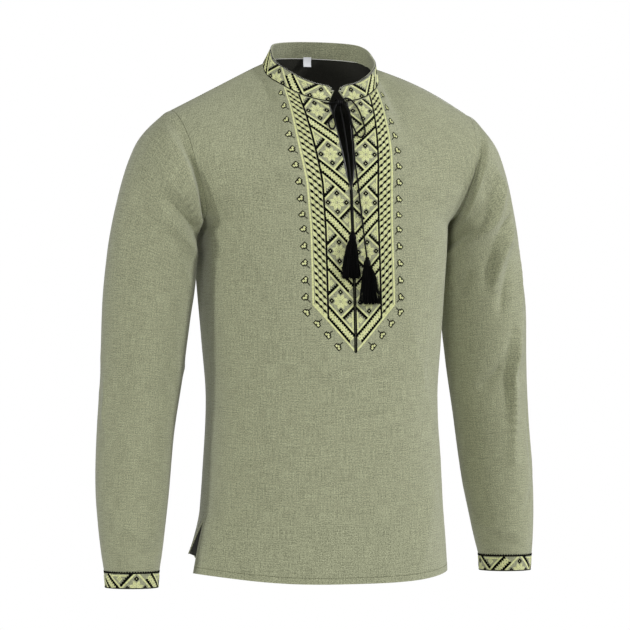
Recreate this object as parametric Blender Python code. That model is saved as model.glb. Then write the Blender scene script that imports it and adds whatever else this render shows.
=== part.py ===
"""A man's linen vyshyvanka: a pullover shirt with long set-in sleeves, a stand collar, narrow cuffs, side
vents and a neck slit closed by a cord with two tassels, worn open and hollow as on a general figure.

Metres, +Z up. The front faces -Y and the wearer's left is +X. The origin is the middle of the neck, at
the height of the shoulders' highest points, where the wearer carries the shirt.

Every cloth piece is a surface laid through key sections by smooth_through, then given its wall by thicken.
"""

from collections import namedtuple
from math import cos, pi, radians, sin

import bmesh
import bpy
import numpy as np
from mathutils import Vector

SEAM_GAP = 0.0003
CLOTH = 0.0013
DOUBLE_CLOTH = 0.0020

# The neck, the slit and the hem
NECK_HALF_WIDTH = 0.0845
NECK_FRONT = 0.064
NECK_BACK = 0.068
NECK_Y = (-0.064, -0.032, 0.000, 0.019, 0.036, 0.068)
NECK_Z = (-0.0535, -0.0290, -0.0125, 0.0010, 0.0080, 0.0140)
SHOULDER_TURN = 110.0
SHOULDER = (0.226, 0.000, -0.066)
SHOULDER_CROWN = (0.000, -0.006, 0.004)
LIFT_FROM_Z = -0.160
SHOULDER_LIFT = {"left": 0.002, "right": -0.003}
COLLAR_HEIGHT = 0.0258
COLLAR_LEAN = {"left": (20.0, 9.0, 24.0), "right": (20.0, 27.0, 24.0)}
COLLAR_CORNER = 0.009
COLLAR_TOP_GAP = 0.0042
COLLAR_CLOSING_TURN = 40.0
SLIT_TOP_HALF = 0.0128
SLIT_FOOT_Z = -0.172
SLIT_CURVE = 0.55
HEM_RISE = {"left": 0.014, "right": 0.012}
BACK_HEM_RISE = 0.038
VENT_TOP_Z = -0.632
FRONT_FLARE = {"left": 0.001, "right": 0.0125}
BACK_FLARE = {"left": 0.018, "right": 0.031}
VENT_FLARE_DEPTH = 0.050
VENT_STEP_BACK = 0.004

# The mesh counts: columns from the middle to an edge, and rows below and above the armpit
FRONT_COLUMNS = 12
BACK_COLUMNS = 10
ROWS_BELOW = 20
ROWS_ABOVE = 12
SLEEVE_ROWS = 23
COLLAR_ROWS = 3
CUFF_ROWS = 2
NECK_SHARE = 0.5

# A section of half a panel: its point on the centre line, its point on the side seam or the armhole, the
# angle that its arc turns through, how full its corner is (1 is an ellipse, less is squarer), and how far it
# has taken on the bend of the neckline and the shoulder.
Section = namedtuple("Section", "name centre_y centre_z edge_x edge_y edge_z arc corner neck")

FRONT = [
    Section("hem", -0.1300, -0.7275, 0.1815, 0.000, -0.7275, 90, 0.84, 0.0),
    Section("vent", -0.1310, -0.6870, 0.1790, 0.000, -0.6870, 90, 0.84, 0.0),
    Section("hip", -0.1310, -0.5810, 0.1705, 0.000, -0.5810, 90, 0.82, 0.0),
    Section("waist", -0.1305, -0.4740, 0.1655, 0.000, -0.4740, 90, 0.82, 0.0),
    Section("ribs", -0.1290, -0.3890, 0.1710, 0.000, -0.3890, 90, 0.80, 0.0),
    Section("chest", -0.1235, -0.3000, 0.1775, 0.000, -0.3000, 90, 0.76, 0.0),
    Section("armpit", -0.1185, -0.2420, 0.1815, 0.000, -0.2350, 90, 0.74, 0.0),
    Section("hollow", -0.1155, -0.2080, 0.1900, -0.046, -0.2080, 64, 0.84, 0.0),
    Section("armhole", -0.1120, SLIT_FOOT_Z, 0.2010, -0.060, -0.1760, 54, 0.96, 0.0),
    Section("breast", -0.1050, -0.1400, 0.2110, -0.064, -0.1450, 48, 1.00, 0.12),
    Section("yoke", -0.0935, -0.1080, 0.2175, -0.055, -0.1120, 48, 1.00, 0.42),
    Section("slope", -0.0790, -0.0790, 0.2220, -0.034, -0.0840, 52, 1.00, 0.82),
    Section("ridge", -0.0690, -0.0630, 0.2250, -0.013, -0.0695, 60, 1.00, 0.97),
    Section("top", NECK_Y[0], NECK_Z[0], *SHOULDER, 90, 1.00, 1.0),
]
BACK = [
    Section("hem", 0.1330, -0.7275, 0.1815, 0.000, -0.7275, 90, 0.84, 0.0),
    Section("vent", 0.1270, -0.6870, 0.1790, 0.000, -0.6870, 90, 0.84, 0.0),
    Section("hip", 0.1185, -0.5810, 0.1705, 0.000, -0.5810, 90, 0.82, 0.0),
    Section("waist", 0.1125, -0.4740, 0.1655, 0.000, -0.4740, 90, 0.82, 0.0),
    Section("ribs", 0.1185, -0.3890, 0.1710, 0.000, -0.3890, 90, 0.80, 0.0),
    Section("chest", 0.1255, -0.3000, 0.1775, 0.000, -0.3000, 90, 0.76, 0.0),
    Section("armpit", 0.1295, -0.2450, 0.1815, 0.000, -0.2350, 90, 0.74, 0.0),
    Section("hollow", 0.1280, -0.1950, 0.1905, 0.052, -0.2090, 64, 0.90, 0.0),
    Section("armhole", 0.1230, -0.1480, 0.2030, 0.074, -0.1790, 52, 1.00, 0.0),
    Section("blade", 0.1145, -0.1030, 0.2130, 0.078, -0.1450, 46, 1.00, 0.20),
    Section("yoke", 0.1020, -0.0600, 0.2180, 0.064, -0.1130, 46, 1.00, 0.55),
    Section("slope", 0.0850, -0.0200, 0.2220, 0.036, -0.0850, 52, 1.00, 0.90),
    Section("ridge", 0.0745, 0.0010, 0.2250, 0.013, -0.0700, 60, 1.00, 0.97),
    Section("top", NECK_Y[-1], NECK_Z[-1], *SHOULDER, 90, 1.00, 1.0),
]
ARMPIT = 6

# A ring of the left sleeve: its middle, its half sizes out from the body and to the front, and the tilt of
# its plane, from 90 degrees at a flat armhole to 0 across a hanging arm.
Ring = namedtuple("Ring", "name x y z half_width half_depth tilt")

SLEEVE = [
    Ring("head", 0.2215, 0.001, -0.1633, 0.0818, 0.0743, 69),
    Ring("cap", 0.2315, 0.003, -0.1815, 0.0788, 0.0713, 59),
    Ring("upper", 0.2415, 0.006, -0.2238, 0.0710, 0.0678, 42),
    Ring("biceps", 0.2503, 0.009, -0.2830, 0.0651, 0.0648, 19),
    Ring("arm", 0.2585, 0.012, -0.3500, 0.0623, 0.0623, 7),
    Ring("elbow_top", 0.2645, 0.016, -0.4300, 0.0581, 0.0583, 5),
    Ring("elbow", 0.2730, 0.017, -0.5100, 0.0543, 0.0548, 4),
    Ring("forearm", 0.2804, 0.011, -0.6000, 0.0511, 0.0513, 3),
    Ring("lower", 0.2828, 0.006, -0.6400, 0.0473, 0.0475, 1),
    Ring("wrist", 0.2846, 0.001, -0.6800, 0.0425, 0.0430, 0),
    Ring("cuff_seam", 0.2856, -0.002, -0.7030, 0.0388, 0.0393, 0),
]
ARM_DIRECTION = np.array([0.93, 0, -0.35])
SEAM_TURN = 0.009
CUFF_TOP_GAP = 0.0003
CUFF_HEIGHT = 0.0245
CUFF_TAPER = 0.0016
ARM_DROP = {"left": 0.006, "right": -0.005}
ARM_IN = {"left": 0.004, "right": -0.002}
IN_FROM_Z = -0.380
IN_OVER = 0.100
DROP_FROM_Z = -0.250
DROP_OVER = 0.450
RING_CROWDING = 1.25

# A fold of the cloth: its path as two or three (across, z) points, its half width and its height out of the
# cloth. Across is x on a panel and degrees round a sleeve, from its outer side over the front.
Fold = namedtuple("Fold", "across z width height")

SLEEVE_FOLDS = {
    "left": [
        Fold((62, 92, 152), (-0.160, -0.226, -0.268), 0.013, 0.0055),
        Fold((78, 105, 160), (-0.150, -0.200, -0.238), 0.012, -0.0060),
        Fold((55, 76, 98), (-0.222, -0.270, -0.315), 0.013, 0.0035),
        Fold((46, 66, 82), (-0.360, -0.450, -0.575), 0.014, 0.0035),
        Fold((90, 104, 128), (-0.425, -0.445, -0.462), 0.013, -0.0030),
        Fold((290, 262, 205), (-0.170, -0.225, -0.262), 0.015, 0.0050),
        Fold((280, 250, 200), (-0.205, -0.255, -0.292), 0.014, -0.0040),
        Fold((330, 300, 270), (-0.420, -0.470, -0.500), 0.016, -0.0035),
    ],
    "right": [
        Fold((51, 90, 150), (-0.125, -0.178, -0.236), 0.013, 0.0055),
        Fold((72, 108, 150), (-0.160, -0.208, -0.252), 0.012, -0.0055),
        Fold((80, 112, 146), (-0.214, -0.244, -0.270), 0.012, 0.0045),
        Fold((60, 92, 130), (-0.455, -0.470, -0.500), 0.015, -0.0030),
        Fold((20, 55, 90), (-0.610, -0.640, -0.672), 0.015, 0.0030),
        Fold((292, 258, 208), (-0.165, -0.215, -0.258), 0.015, 0.0050),
        Fold((284, 246, 200), (-0.200, -0.248, -0.286), 0.014, -0.0040),
        Fold((320, 290, 262), (-0.440, -0.480, -0.520), 0.016, -0.0035),
    ],
}
FRONT_FOLDS = [
    Fold((0.165, 0.128, 0.118), (-0.250, -0.360, -0.500), 0.026, -0.0050),
    Fold((-0.168, -0.130, -0.112), (-0.245, -0.330, -0.450), 0.026, -0.0040),
    Fold((0.150, 0.120, 0.105), (-0.560, -0.640, -0.725), 0.026, 0.0040),
    Fold((-0.135, -0.122, -0.118), (-0.600, -0.660, -0.725), 0.026, -0.0045),
]
BACK_FOLDS = [
    Fold((0.160, 0.095, 0.060), (-0.240, -0.330, -0.470), 0.030, -0.0060),
    Fold((-0.160, -0.100, -0.070), (-0.240, -0.320, -0.440), 0.030, -0.0050),
    Fold((0.070, 0.085, 0.080), (-0.500, -0.610, -0.725), 0.030, 0.0050),
    Fold((-0.060, -0.085, -0.090), (-0.480, -0.600, -0.725), 0.030, -0.0045),
]
SLEEVE_FOLD_RADIUS = 0.058
FOLD_STEPS = 24
FOLD_END = 0.06
FOLD_FADE = 0.6
FOLDS_STOP_X = 0.184
FOLDS_FADE_OVER = 0.030

# The ties: a round cord, tied in a bow at the foot of the collar, whose two ends carry the tassels
CORD_RADIUS = 0.0010
CORD_STEP = 0.0055
KNOT = (-0.0007, -0.0692, -0.0545)
KNOT_HALF = (0.0062, 0.0042, 0.0050)
KNOT_SIDES = 14
KNOT_RINGS = 7
CORDS = {
    "tie_end_left": [
        (-0.0003, -0.0713, -0.0597), (-0.0007, -0.0840, -0.0824), (-0.0013, -0.0986, -0.1152),
        (-0.0012, -0.1111, -0.1575), (0.0001, -0.1155, -0.1869), (-0.0011, -0.1196, -0.2180),
        (-0.0045, -0.1276, -0.2346),
    ],
    "tie_end_right": [
        (0.0053, -0.0700, -0.0572), (0.0097, -0.0715, -0.0600), (0.0127, -0.0745, -0.0660),
        (0.0125, -0.0805, -0.0770), (0.0115, -0.0881, -0.0908), (0.0096, -0.0971, -0.1108),
        (0.0083, -0.1046, -0.1320), (0.0107, -0.1146, -0.1795), (0.0143, -0.1187, -0.2223),
        (0.0157, -0.1230, -0.2480), (0.0157, -0.1309, -0.2712),
    ],
    "tie_loop_right": [
        (0.0047, -0.0685, -0.0510), (0.0095, -0.0679, -0.0486), (0.0155, -0.0665, -0.0490),
        (0.0222, -0.0658, -0.0536), (0.0267, -0.0692, -0.0604), (0.0291, -0.0757, -0.0702),
        (0.0302, -0.0815, -0.0799), (0.0310, -0.0861, -0.0884), (0.0305, -0.0893, -0.0954),
        (0.0269, -0.0922, -0.1014), (0.0223, -0.0934, -0.1039), (0.0177, -0.0929, -0.1012),
        (0.0140, -0.0923, -0.0940), (0.0113, -0.0883, -0.0850), (0.0100, -0.0811, -0.0716),
        (0.0083, -0.0755, -0.0620), (0.0053, -0.0723, -0.0556),
    ],
    "tie_loop_left": [
        (-0.0067, -0.0692, -0.0578), (-0.0103, -0.0718, -0.0640), (-0.0137, -0.0787, -0.0757),
        (-0.0189, -0.0814, -0.0794), (-0.0223, -0.0842, -0.0845), (-0.0221, -0.0869, -0.0899),
        (-0.0189, -0.0883, -0.0928), (-0.0148, -0.0870, -0.0904), (-0.0127, -0.0848, -0.0845),
        (-0.0133, -0.0824, -0.0776), (-0.0125, -0.0778, -0.0698), (-0.0093, -0.0744, -0.0618),
        (-0.0057, -0.0727, -0.0574),
    ],
}
TIE_STUB = [
    (-0.0231, -0.0659, -0.0546), (-0.0165, -0.0671, -0.0556), (-0.0095, -0.0682, -0.0550),
    (-0.0015, -0.0690, -0.0545),
]

# A tassel: where its head hangs, the middle of its foot, and its half sizes there across and in depth
Tassel = namedtuple("Tassel", "name x y z foot_x foot_y foot_z half_width half_depth")

TASSELS = [
    Tassel("tassel_left", -0.0050, -0.1296, -0.2352, -0.0100, -0.1312, -0.3045, 0.0130, 0.0068),
    Tassel("tassel_right", 0.0160, -0.1322, -0.2718, 0.0207, -0.1335, -0.3372, 0.0160, 0.0072),
]
STRANDS = 38
STRAND_SIDES = 3
# Down a strand: the share of its fall, how far it has spread from root to tip, and its half width
STRAND_STEPS = [(0.00, 0.00, 0.00042), (0.35, 0.55, 0.00059), (1.00, 1.00, 0.00085)]
STRAND_SHORTEST = 0.94
ROOT_SPREAD = (0.80, 0.60)
ROOT_DEPTH = 0.002
# The head's half width at each height below its top
TASSEL_HEAD = [
    (0.0000, 0.0016), (0.0022, 0.0030), (0.0040, 0.0026), (0.0068, 0.0046), (0.0100, 0.0053),
    (0.0135, 0.0049),
]
HEAD_SIDES = 12
HEAD_DEPTH = 0.8
GOLDEN_TURN = 2.39996

LABEL_X = 0.0042
LABEL_WIDTH = 0.0115
LABEL_TOP_Z = 0.0160
LABEL_FOOT_Z = 0.0022
LABEL_THICKNESS = 0.0010
LABEL_Y = 0.0630


def unit(vectors):
    return vectors / np.linalg.norm(vectors, axis=-1, keepdims=True)


def smooth_through(places, keys, at):
    """A cubic curve through keys, arrays of one shape at rising places, that never swings past a key."""
    places, keys, at = (np.asarray(part, float) for part in (places, keys, at))
    rates = np.diff(keys, axis=0) / np.diff(places).reshape(-1, *[1] * (keys.ndim - 1))
    before, after = rates[:-1], rates[1:]
    same_way = before * after > 0
    between = np.where(same_way, 2 * before * after / np.where(same_way, before + after, 1), 0)
    slopes = np.concatenate([rates[:1], between, rates[-1:]])
    i = np.clip(np.searchsorted(places, at, "right") - 1, 0, len(places) - 2)
    step = (places[i + 1] - places[i]).reshape(-1, *[1] * (keys.ndim - 1))
    t = ((at - places[i]) / (places[i + 1] - places[i])).reshape(step.shape)
    return (
        (2 * t**3 - 3 * t**2 + 1) * keys[i]
        + (t**3 - 2 * t**2 + t) * step * slopes[i]
        + (3 * t**2 - 2 * t**3) * keys[i + 1]
        + (t**3 - t**2) * step * slopes[i + 1]
    )


def neckline(angle):
    """Points of the left half of the neckline, at angles from 0 at the front to pi at the back."""
    y = -np.cos(angle) * np.where(np.cos(angle) > 0, NECK_FRONT, NECK_BACK)
    return np.stack([NECK_HALF_WIDTH * np.sin(angle), y, smooth_through(NECK_Y, NECK_Z, y)], axis=-1)


def neck_turns(facing):
    """The angles of a panel's columns along half of its neckline, from the slit or the centre back."""
    if facing > 0:
        return np.linspace(pi, radians(SHOULDER_TURN), round(BACK_COLUMNS * NECK_SHARE) + 1)
    start = np.arcsin(SLIT_TOP_HALF / NECK_HALF_WIDTH)
    return np.linspace(start, radians(SHOULDER_TURN), round(FRONT_COLUMNS * NECK_SHARE) + 1)


def top_edge(share, facing):
    """The top edge of half a panel: the neckline to its share, then the shoulder seam."""
    round_neck = np.clip(share / NECK_SHARE, 0, 1)
    seam_turn = radians(SHOULDER_TURN)
    neck = neckline(round_neck * seam_turn if facing < 0 else pi - round_neck * (pi - seam_turn))
    along = np.clip((share - NECK_SHARE) / (1 - NECK_SHARE), 0, 1)[:, None]
    seam = np.array(SHOULDER) - neckline(np.array([seam_turn]))
    return neck + along * seam + np.sin(pi * along) * np.array(SHOULDER_CROWN)


def section_arc(section, share):
    """The arc from a section's centre point to its edge point, as if it had no neck to bend to."""
    turn = radians(section.arc)
    across = (np.sin(share * turn) / sin(turn)) ** section.corner
    back = (1 - np.cos(share * turn) ** section.corner) / (1 - cos(turn) ** section.corner)
    return np.stack(
        [
            section.edge_x * across,
            section.centre_y + (section.edge_y - section.centre_y) * back,
            section.centre_z + (section.edge_z - section.centre_z) * back,
        ],
        axis=-1,
    )


def half_panel(sections, columns):
    """The left half of a panel as a grid of points: rows from the hem up, columns from the middle out."""
    share = np.linspace(0, 1, columns + 1)
    top, ends = top_edge(share, sections[0].centre_y), share[:, None]
    keys = []
    for section in sections:
        arc = section_arc(section, share)
        bent = top + (arc[0] - top[0]) * (1 - ends) + (arc[-1] - top[-1]) * ends
        keys.append(arc + section.neck * (bent - arc))
    keys = np.array(keys)
    steps = np.linalg.norm(np.diff(keys[:, -1], axis=0), axis=1)
    places = np.concatenate([[0], np.cumsum(steps)])
    below = np.linspace(0, places[ARMPIT], ROWS_BELOW + 1)
    above = np.linspace(places[ARMPIT], places[-1], ROWS_ABOVE + 1)
    return smooth_through(places, keys, np.concatenate([below, above[1:]]))


def slit_half_width(z):
    """Half the slit's gap: it closes from the neck to its foot, faster near the foot."""
    down = np.clip((z - SLIT_FOOT_Z) / (NECK_Z[0] - SLIT_FOOT_Z), 0, 1)
    return SLIT_TOP_HALF * down**SLIT_CURVE


def hem_rise(points, rise, flare):
    """Lifts a panel's hem towards its side and swings the side out, over the height of the vent."""
    near_hem = np.clip((VENT_TOP_Z - points[..., 2]) / (VENT_TOP_Z - FRONT[0].centre_z), 0, 1)
    outward = np.clip(np.abs(points[..., 0]) / FRONT[0].edge_x, 0, 1) ** 3
    points[..., 0] += np.sign(points[..., 0]) * flare * near_hem**0.5 * outward**3
    points[..., 2] += rise * near_hem * outward
    return points


def fold_height(across, z, folds):
    """How far the folds stand out of the cloth, for points given across and up it in metres."""
    height = np.zeros_like(z)
    for fold in folds:
        path = smooth_through(
            [0, 1, 2], np.stack([fold.across, fold.z], axis=-1), np.linspace(0, 2, FOLD_STEPS)
        )
        away = np.hypot(across[..., None] - path[:, 0], z[..., None] - path[:, 1])
        nearest = np.argmin(away, axis=-1) / (FOLD_STEPS - 1)
        fade = np.sin(pi * np.clip(nearest, FOLD_END, 1 - FOLD_END)) ** FOLD_FADE
        height += fold.height * fade * np.exp(-((away.min(axis=-1) / fold.width) ** 2))
    return height


def grid_normals(grid, around=False):
    """The unit normals of a grid of points, closed around its columns or not, from its rows and columns."""
    if around:
        across = np.roll(grid, -1, axis=1) - np.roll(grid, 1, axis=1)
    else:
        across = np.gradient(grid, axis=1)
    return unit(np.cross(across, np.gradient(grid, axis=0)))


def grid_faces(rows, columns, around=False):
    """The quads of a grid whose points are numbered row by row."""
    across = columns if around else columns - 1
    row, column = (part.ravel() for part in np.mgrid[: rows - 1, :across])
    first, second = row * columns + column, row * columns + (column + 1) % columns
    return np.stack([first, second, second + columns, first + columns], axis=-1)


def material(name, colour, roughness):
    made = bpy.data.materials.new(name)
    made.use_nodes = True
    surface = made.node_tree.nodes["Principled BSDF"]
    surface.inputs["Base Color"].default_value = (*colour, 1)
    surface.inputs["Roughness"].default_value = roughness
    return made


def solid(name, points, faces, finish):
    """One object from points and faces, its normals turned out and its round sides smooth."""
    mesh = bpy.data.meshes.new(name)
    mesh.from_pydata(np.asarray(points).tolist(), [], [list(map(int, face)) for face in faces])
    shape = bmesh.new()
    shape.from_mesh(mesh)
    bmesh.ops.recalc_face_normals(shape, faces=shape.faces)
    shape.to_mesh(mesh)
    shape.free()
    mesh.shade_smooth()
    mesh.set_sharp_from_angle(angle=radians(50))
    mesh.materials.append(finish)
    made = bpy.data.objects.new(name, mesh)
    bpy.context.scene.collection.objects.link(made)
    return made


def thicken(name, outer, inner, faces, finish):
    """A wall between two layers of points with one set of faces: both layers and a strip at each edge."""
    count = len(outer)
    starts = faces.reshape(-1)
    ends = np.roll(faces, -1, axis=1).reshape(-1)
    seen = {(int(a), int(b)) for a, b in zip(starts, ends)}
    edges = sorted((a, b) for a, b in seen if (b, a) not in seen)
    strips = [(b, a, a + count, b + count) for a, b in edges]
    layers = [*faces.tolist(), *(faces[:, ::-1] + count).tolist(), *strips]
    return solid(name, np.concatenate([outer, inner]), layers, finish)


def shoulder_columns(grid):
    """Which columns of a panel's grid end on the shoulder seams, its neck's sides included."""
    middle = grid.shape[1] // 2
    return np.abs(np.arange(grid.shape[1]) - middle) >= round(middle * NECK_SHARE)


def panels():
    """The front and the back as grids from the wearer's right to left, with normals that agree at seams."""
    made = {}
    for name, sections, columns, folds in (
        ("front", FRONT, FRONT_COLUMNS, FRONT_FOLDS),
        ("back", BACK, BACK_COLUMNS, BACK_FOLDS),
    ):
        half = half_panel(sections, columns)
        full = np.concatenate([(half * [-1, 1, 1])[:, :0:-1], half], axis=1)
        outward = (np.abs(full[..., 0]) - NECK_HALF_WIDTH) / (SHOULDER[0] - NECK_HALF_WIDTH)
        high = np.clip((full[..., 2] - LIFT_FROM_Z) / (SHOULDER[2] - LIFT_FROM_Z), 0, 1)
        lift = np.where(full[..., 0] > 0, SHOULDER_LIFT["left"], SHOULDER_LIFT["right"])
        full[..., 2] += lift * high * np.sin(pi * np.clip(outward, 0, 1))
        normals = grid_normals(full) * (1 if name == "front" else -1)
        made[name] = [full, normals, folds]
    for column in (0, -1):
        shared = unit(made["front"][1][:, column] + made["back"][1][:, column])
        made["front"][1][:, column] = made["back"][1][:, column] = shared
    for name in made:
        full, normals, folds = made[name]
        ridge = shoulder_columns(full)
        seam = (np.array(SHOULDER) - neckline(np.array([radians(SHOULDER_TURN)]))) * [1, 0, 1]
        upright = unit(np.array([-seam[0, 2], 0, seam[0, 0]]))
        normals[-1, ridge] = upright * np.sign(full[-1, ridge, :1]) * [1, 0, 0] + upright * [0, 0, 1]
        from_edge = np.clip((FOLDS_STOP_X - np.abs(full[..., 0])) / FOLDS_FADE_OVER, 0, 1)
        lift = fold_height(full[..., 0], full[..., 2], folds) * from_edge
        made[name] = [full + normals * lift[..., None], normals]
    return made


def armhole(made, side):
    """The armhole's loop from the shoulder down the front and up the back: its points and their normals."""
    column = -1 if side == "left" else 0
    loops = []
    for layer in (0, 1):
        front = made["front"][layer][ROWS_BELOW:, column][::-1]
        back = made["back"][layer][ROWS_BELOW:, column]
        loops.append(np.concatenate([front, back[1:-1]]))
    return loops


def ring_points(ring, turns):
    tilt = radians(ring.tilt)
    out = np.array([cos(tilt), 0, sin(tilt)]) * ring.half_width
    forward = np.array([0, -1, 0]) * ring.half_depth
    middle = np.array([ring.x, ring.y, ring.z])
    return middle + np.cos(turns)[:, None] * out + np.sin(turns)[:, None] * forward


def front_panel(made, finish):
    """The front: one piece whose middle column opens into the neck slit above the slit's foot."""
    grid, normals = made["front"][0].copy(), made["front"][1]
    rows, columns = grid.shape[:2]
    middle = FRONT_COLUMNS
    grid[:-1, [0, -1], 1] -= SEAM_GAP / 2
    for side, part in (("right", slice(0, middle + 1)), ("left", slice(middle, None))):
        hem_rise(grid[:, part], HEM_RISE[side], FRONT_FLARE[side])
    gap = slit_half_width(grid[:, middle, 2])
    split = int(np.flatnonzero(gap > 0)[0])
    spare = np.arange(rows - split) + rows * columns
    sides = np.sign(np.arange(columns) - middle)
    nearness = 1 - np.abs(np.arange(columns) - middle) / FRONT_COLUMNS
    grid[split:, :, 0] += sides * nearness**3 * gap[split:, None]
    neck = neckline(neck_turns(-1))[1:]
    grid[-1, middle + 1 : middle + 1 + len(neck)] = neck
    grid[-1, middle - len(neck) : middle] = neck[::-1] * [-1, 1, 1]
    grid[-1, shoulder_columns(grid), 1] -= SEAM_GAP / 2
    faces = grid_faces(rows, columns)
    centre = np.arange(split, rows) * columns + middle
    swap = dict(zip(centre.tolist(), spare.tolist()))
    left = (faces % columns == middle + 1).any(axis=1)
    faces[left] = np.vectorize(lambda index: swap.get(index, index))(faces[left])
    outer = grid.reshape(-1, 3)
    outer = np.concatenate([outer, outer[centre] + gap[split:, None] * [1, 0, 0]])
    outer[centre, 0] -= gap[split:]
    out = normals.reshape(-1, 3)
    out = np.concatenate([out, out[centre]])
    return thicken("front", outer, outer - out * CLOTH, faces, finish)


def back_panel(made, finish):
    """The back: one piece, whose corners stand out a little at the vents and whose hem rises to them."""
    grid, normals = made["back"][0].copy(), made["back"][1]
    grid[:-1, [0, -1], 1] += SEAM_GAP / 2
    grid[-1, shoulder_columns(grid), 1] += SEAM_GAP / 2
    hem_rise(grid, BACK_HEM_RISE, 0)
    open_share = np.clip((VENT_TOP_Z - grid[..., 2]) / (VENT_TOP_Z - FRONT[0].centre_z), 0, 1)
    near_side = np.clip(1 - grid[..., 1] / VENT_FLARE_DEPTH, 0, 1)
    flare = np.where(grid[..., 0] > 0, BACK_FLARE["left"], BACK_FLARE["right"])
    grid += normals * (flare * open_share * near_side)[..., None]
    grid[..., 1] += VENT_STEP_BACK * open_share * near_side
    rows, columns = grid.shape[:2]
    outer = grid.reshape(-1, 3)
    faces = grid_faces(rows, columns)[:, ::-1]
    return thicken("back", outer, outer - normals.reshape(-1, 3) * CLOTH, faces, finish)


def sleeve_grid(made, side):
    """A sleeve's outer points and normals, by rings from the armhole to the cuff's seam."""
    loop, loop_normals = armhole(made, side)
    mirror = np.array([1 if side == "left" else -1, 1, 1])
    loop, loop_normals = loop * mirror, loop_normals * mirror
    along = np.roll(loop, -1, axis=0) - np.roll(loop, 1, axis=0)
    outward = unit(np.cross(along, loop_normals))
    outward *= np.sign((outward * [1, 0, 0.4]).sum(axis=1).mean())
    start = loop + outward * SEAM_GAP
    turns = np.linspace(0, 2 * pi, len(loop), endpoint=False)
    rings = []
    for ring in SLEEVE:
        raised = ARM_DROP[side] * np.clip((DROP_FROM_Z - ring.z) / DROP_OVER, 0, 1)
        moved_in = ARM_IN[side] * np.clip((ring.z - IN_FROM_Z) / IN_OVER, 0, 1)
        rings.append(ring._replace(x=ring.x - moved_in, z=ring.z + raised))
    turned_out = start + (outward + ARM_DIRECTION) / 2 * SEAM_TURN
    keys = np.array([start, turned_out] + [ring_points(ring, turns) for ring in rings])
    middles = keys.mean(axis=1)
    steps = np.linalg.norm(np.diff(middles, axis=0), axis=1)
    places = np.concatenate([[0], np.cumsum(steps)])
    at = places[-1] * np.linspace(0, 1, SLEEVE_ROWS + 1) ** RING_CROWDING
    grid = smooth_through(places, keys, at)
    normals = grid_normals(grid, around=True)
    folds = [
        fold._replace(across=tuple(radians(each) * SLEEVE_FOLD_RADIUS for each in fold.across))
        for fold in SLEEVE_FOLDS[side]
    ]
    across = np.broadcast_to(turns * SLEEVE_FOLD_RADIUS, grid.shape[:2])
    from_ends = np.clip(np.minimum(at, places[-1] - at) / FOLDS_FADE_OVER, 0, 1)[:, None]
    lift = fold_height(across, grid[..., 2], folds) * from_ends
    grid = grid + normals * lift[..., None]
    normals = grid_normals(grid, around=True)
    past_seam = np.clip((normals[1] * outward).sum(axis=1), 0, None)[:, None]
    normals[0] = unit(loop_normals + normals[1] - past_seam * outward)
    normals[-1] = unit(normals[-1] * [1, 1, 0])
    return grid * mirror, normals * mirror


def sleeve(made, side, finish):
    grid, normals = sleeve_grid(made, side)
    rows, columns = grid.shape[:2]
    outer = grid.reshape(-1, 3)
    inner = outer - normals.reshape(-1, 3) * CLOTH
    return thicken(f"sleeve_{side}", outer, inner, grid_faces(rows, columns, True), finish)


def cuff(made, side, finish):
    """A straight band under the sleeve, of doubled cloth."""
    grid, normals = sleeve_grid(made, side)
    seam, out = grid[-1], normals[-1]
    depth = np.linspace(0, 1, CUFF_ROWS + 1)[:, None, None]
    outer = seam - [0, 0, CUFF_TOP_GAP] - depth * [0, 0, CUFF_HEIGHT] - depth * out * CUFF_TAPER
    inner = outer - out * DOUBLE_CLOTH
    faces = grid_faces(CUFF_ROWS + 1, len(seam), True)
    return thicken(f"cuff_{side}", outer.reshape(-1, 3), inner.reshape(-1, 3), faces, finish)


def collar(finish):
    """The stand collar: a band of doubled cloth whose front corners are round and lean together."""
    half = np.concatenate([neck_turns(-1), neck_turns(1)[-2::-1]])
    opening = half[0] - np.arcsin(COLLAR_TOP_GAP / NECK_HALF_WIDTH)
    half_top = half - opening * np.clip(1 - (half - half[0]) / radians(COLLAR_CLOSING_TURN), 0, 1)
    sides = np.where(np.arange(2 * len(half) - 1) < len(half), 1, -1)

    def ring(turns, height):
        folded = np.concatenate([turns, turns[-2::-1]])
        base = neckline(folded)
        base[:, 0] *= sides
        inward = unit(-base * [1, 1, 0])
        leans = [smooth_through([0, pi / 2, pi], COLLAR_LEAN[side], folded) for side in ("left", "right")]
        lean = np.radians(np.where(sides > 0, *leans))[:, None]
        up = inward * np.sin(lean) + np.array([0, 0, 1]) * np.cos(lean)
        out = -inward * np.cos(lean) + np.array([0, 0, 1]) * np.sin(lean)
        return base + up * height[:, None], out

    from_end = (half - half[0]) * NECK_FRONT
    rounding = COLLAR_CORNER * (1 - np.sqrt(1 - np.clip(1 - from_end / COLLAR_CORNER, 0, 1) ** 2))
    height = COLLAR_HEIGHT - rounding
    height = np.concatenate([height, height[-2::-1]])
    foot, out = ring(half, np.full(len(height), SEAM_GAP))
    top, _ = ring(half_top, height)
    rise = np.linspace(0, 1, COLLAR_ROWS + 1)[:, None, None]
    outer = foot * (1 - rise) + top * rise
    level = unit(out * [1, 1, 0])
    inner = outer - unit(level * (1 - rise) + out * rise) * DOUBLE_CLOTH
    faces = grid_faces(COLLAR_ROWS + 1, len(height))
    return thicken("collar", outer.reshape(-1, 3), inner.reshape(-1, 3), faces, finish)


def smooth_route(points, step):
    """Points a step apart along a smooth curve through a route's own points."""
    points = np.array(points)
    lengths = np.concatenate([[0], np.cumsum(np.linalg.norm(np.diff(points, axis=0), axis=1))])
    return smooth_through(lengths, points, np.linspace(0, lengths[-1], max(2, round(lengths[-1] / step)) + 1))


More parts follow.
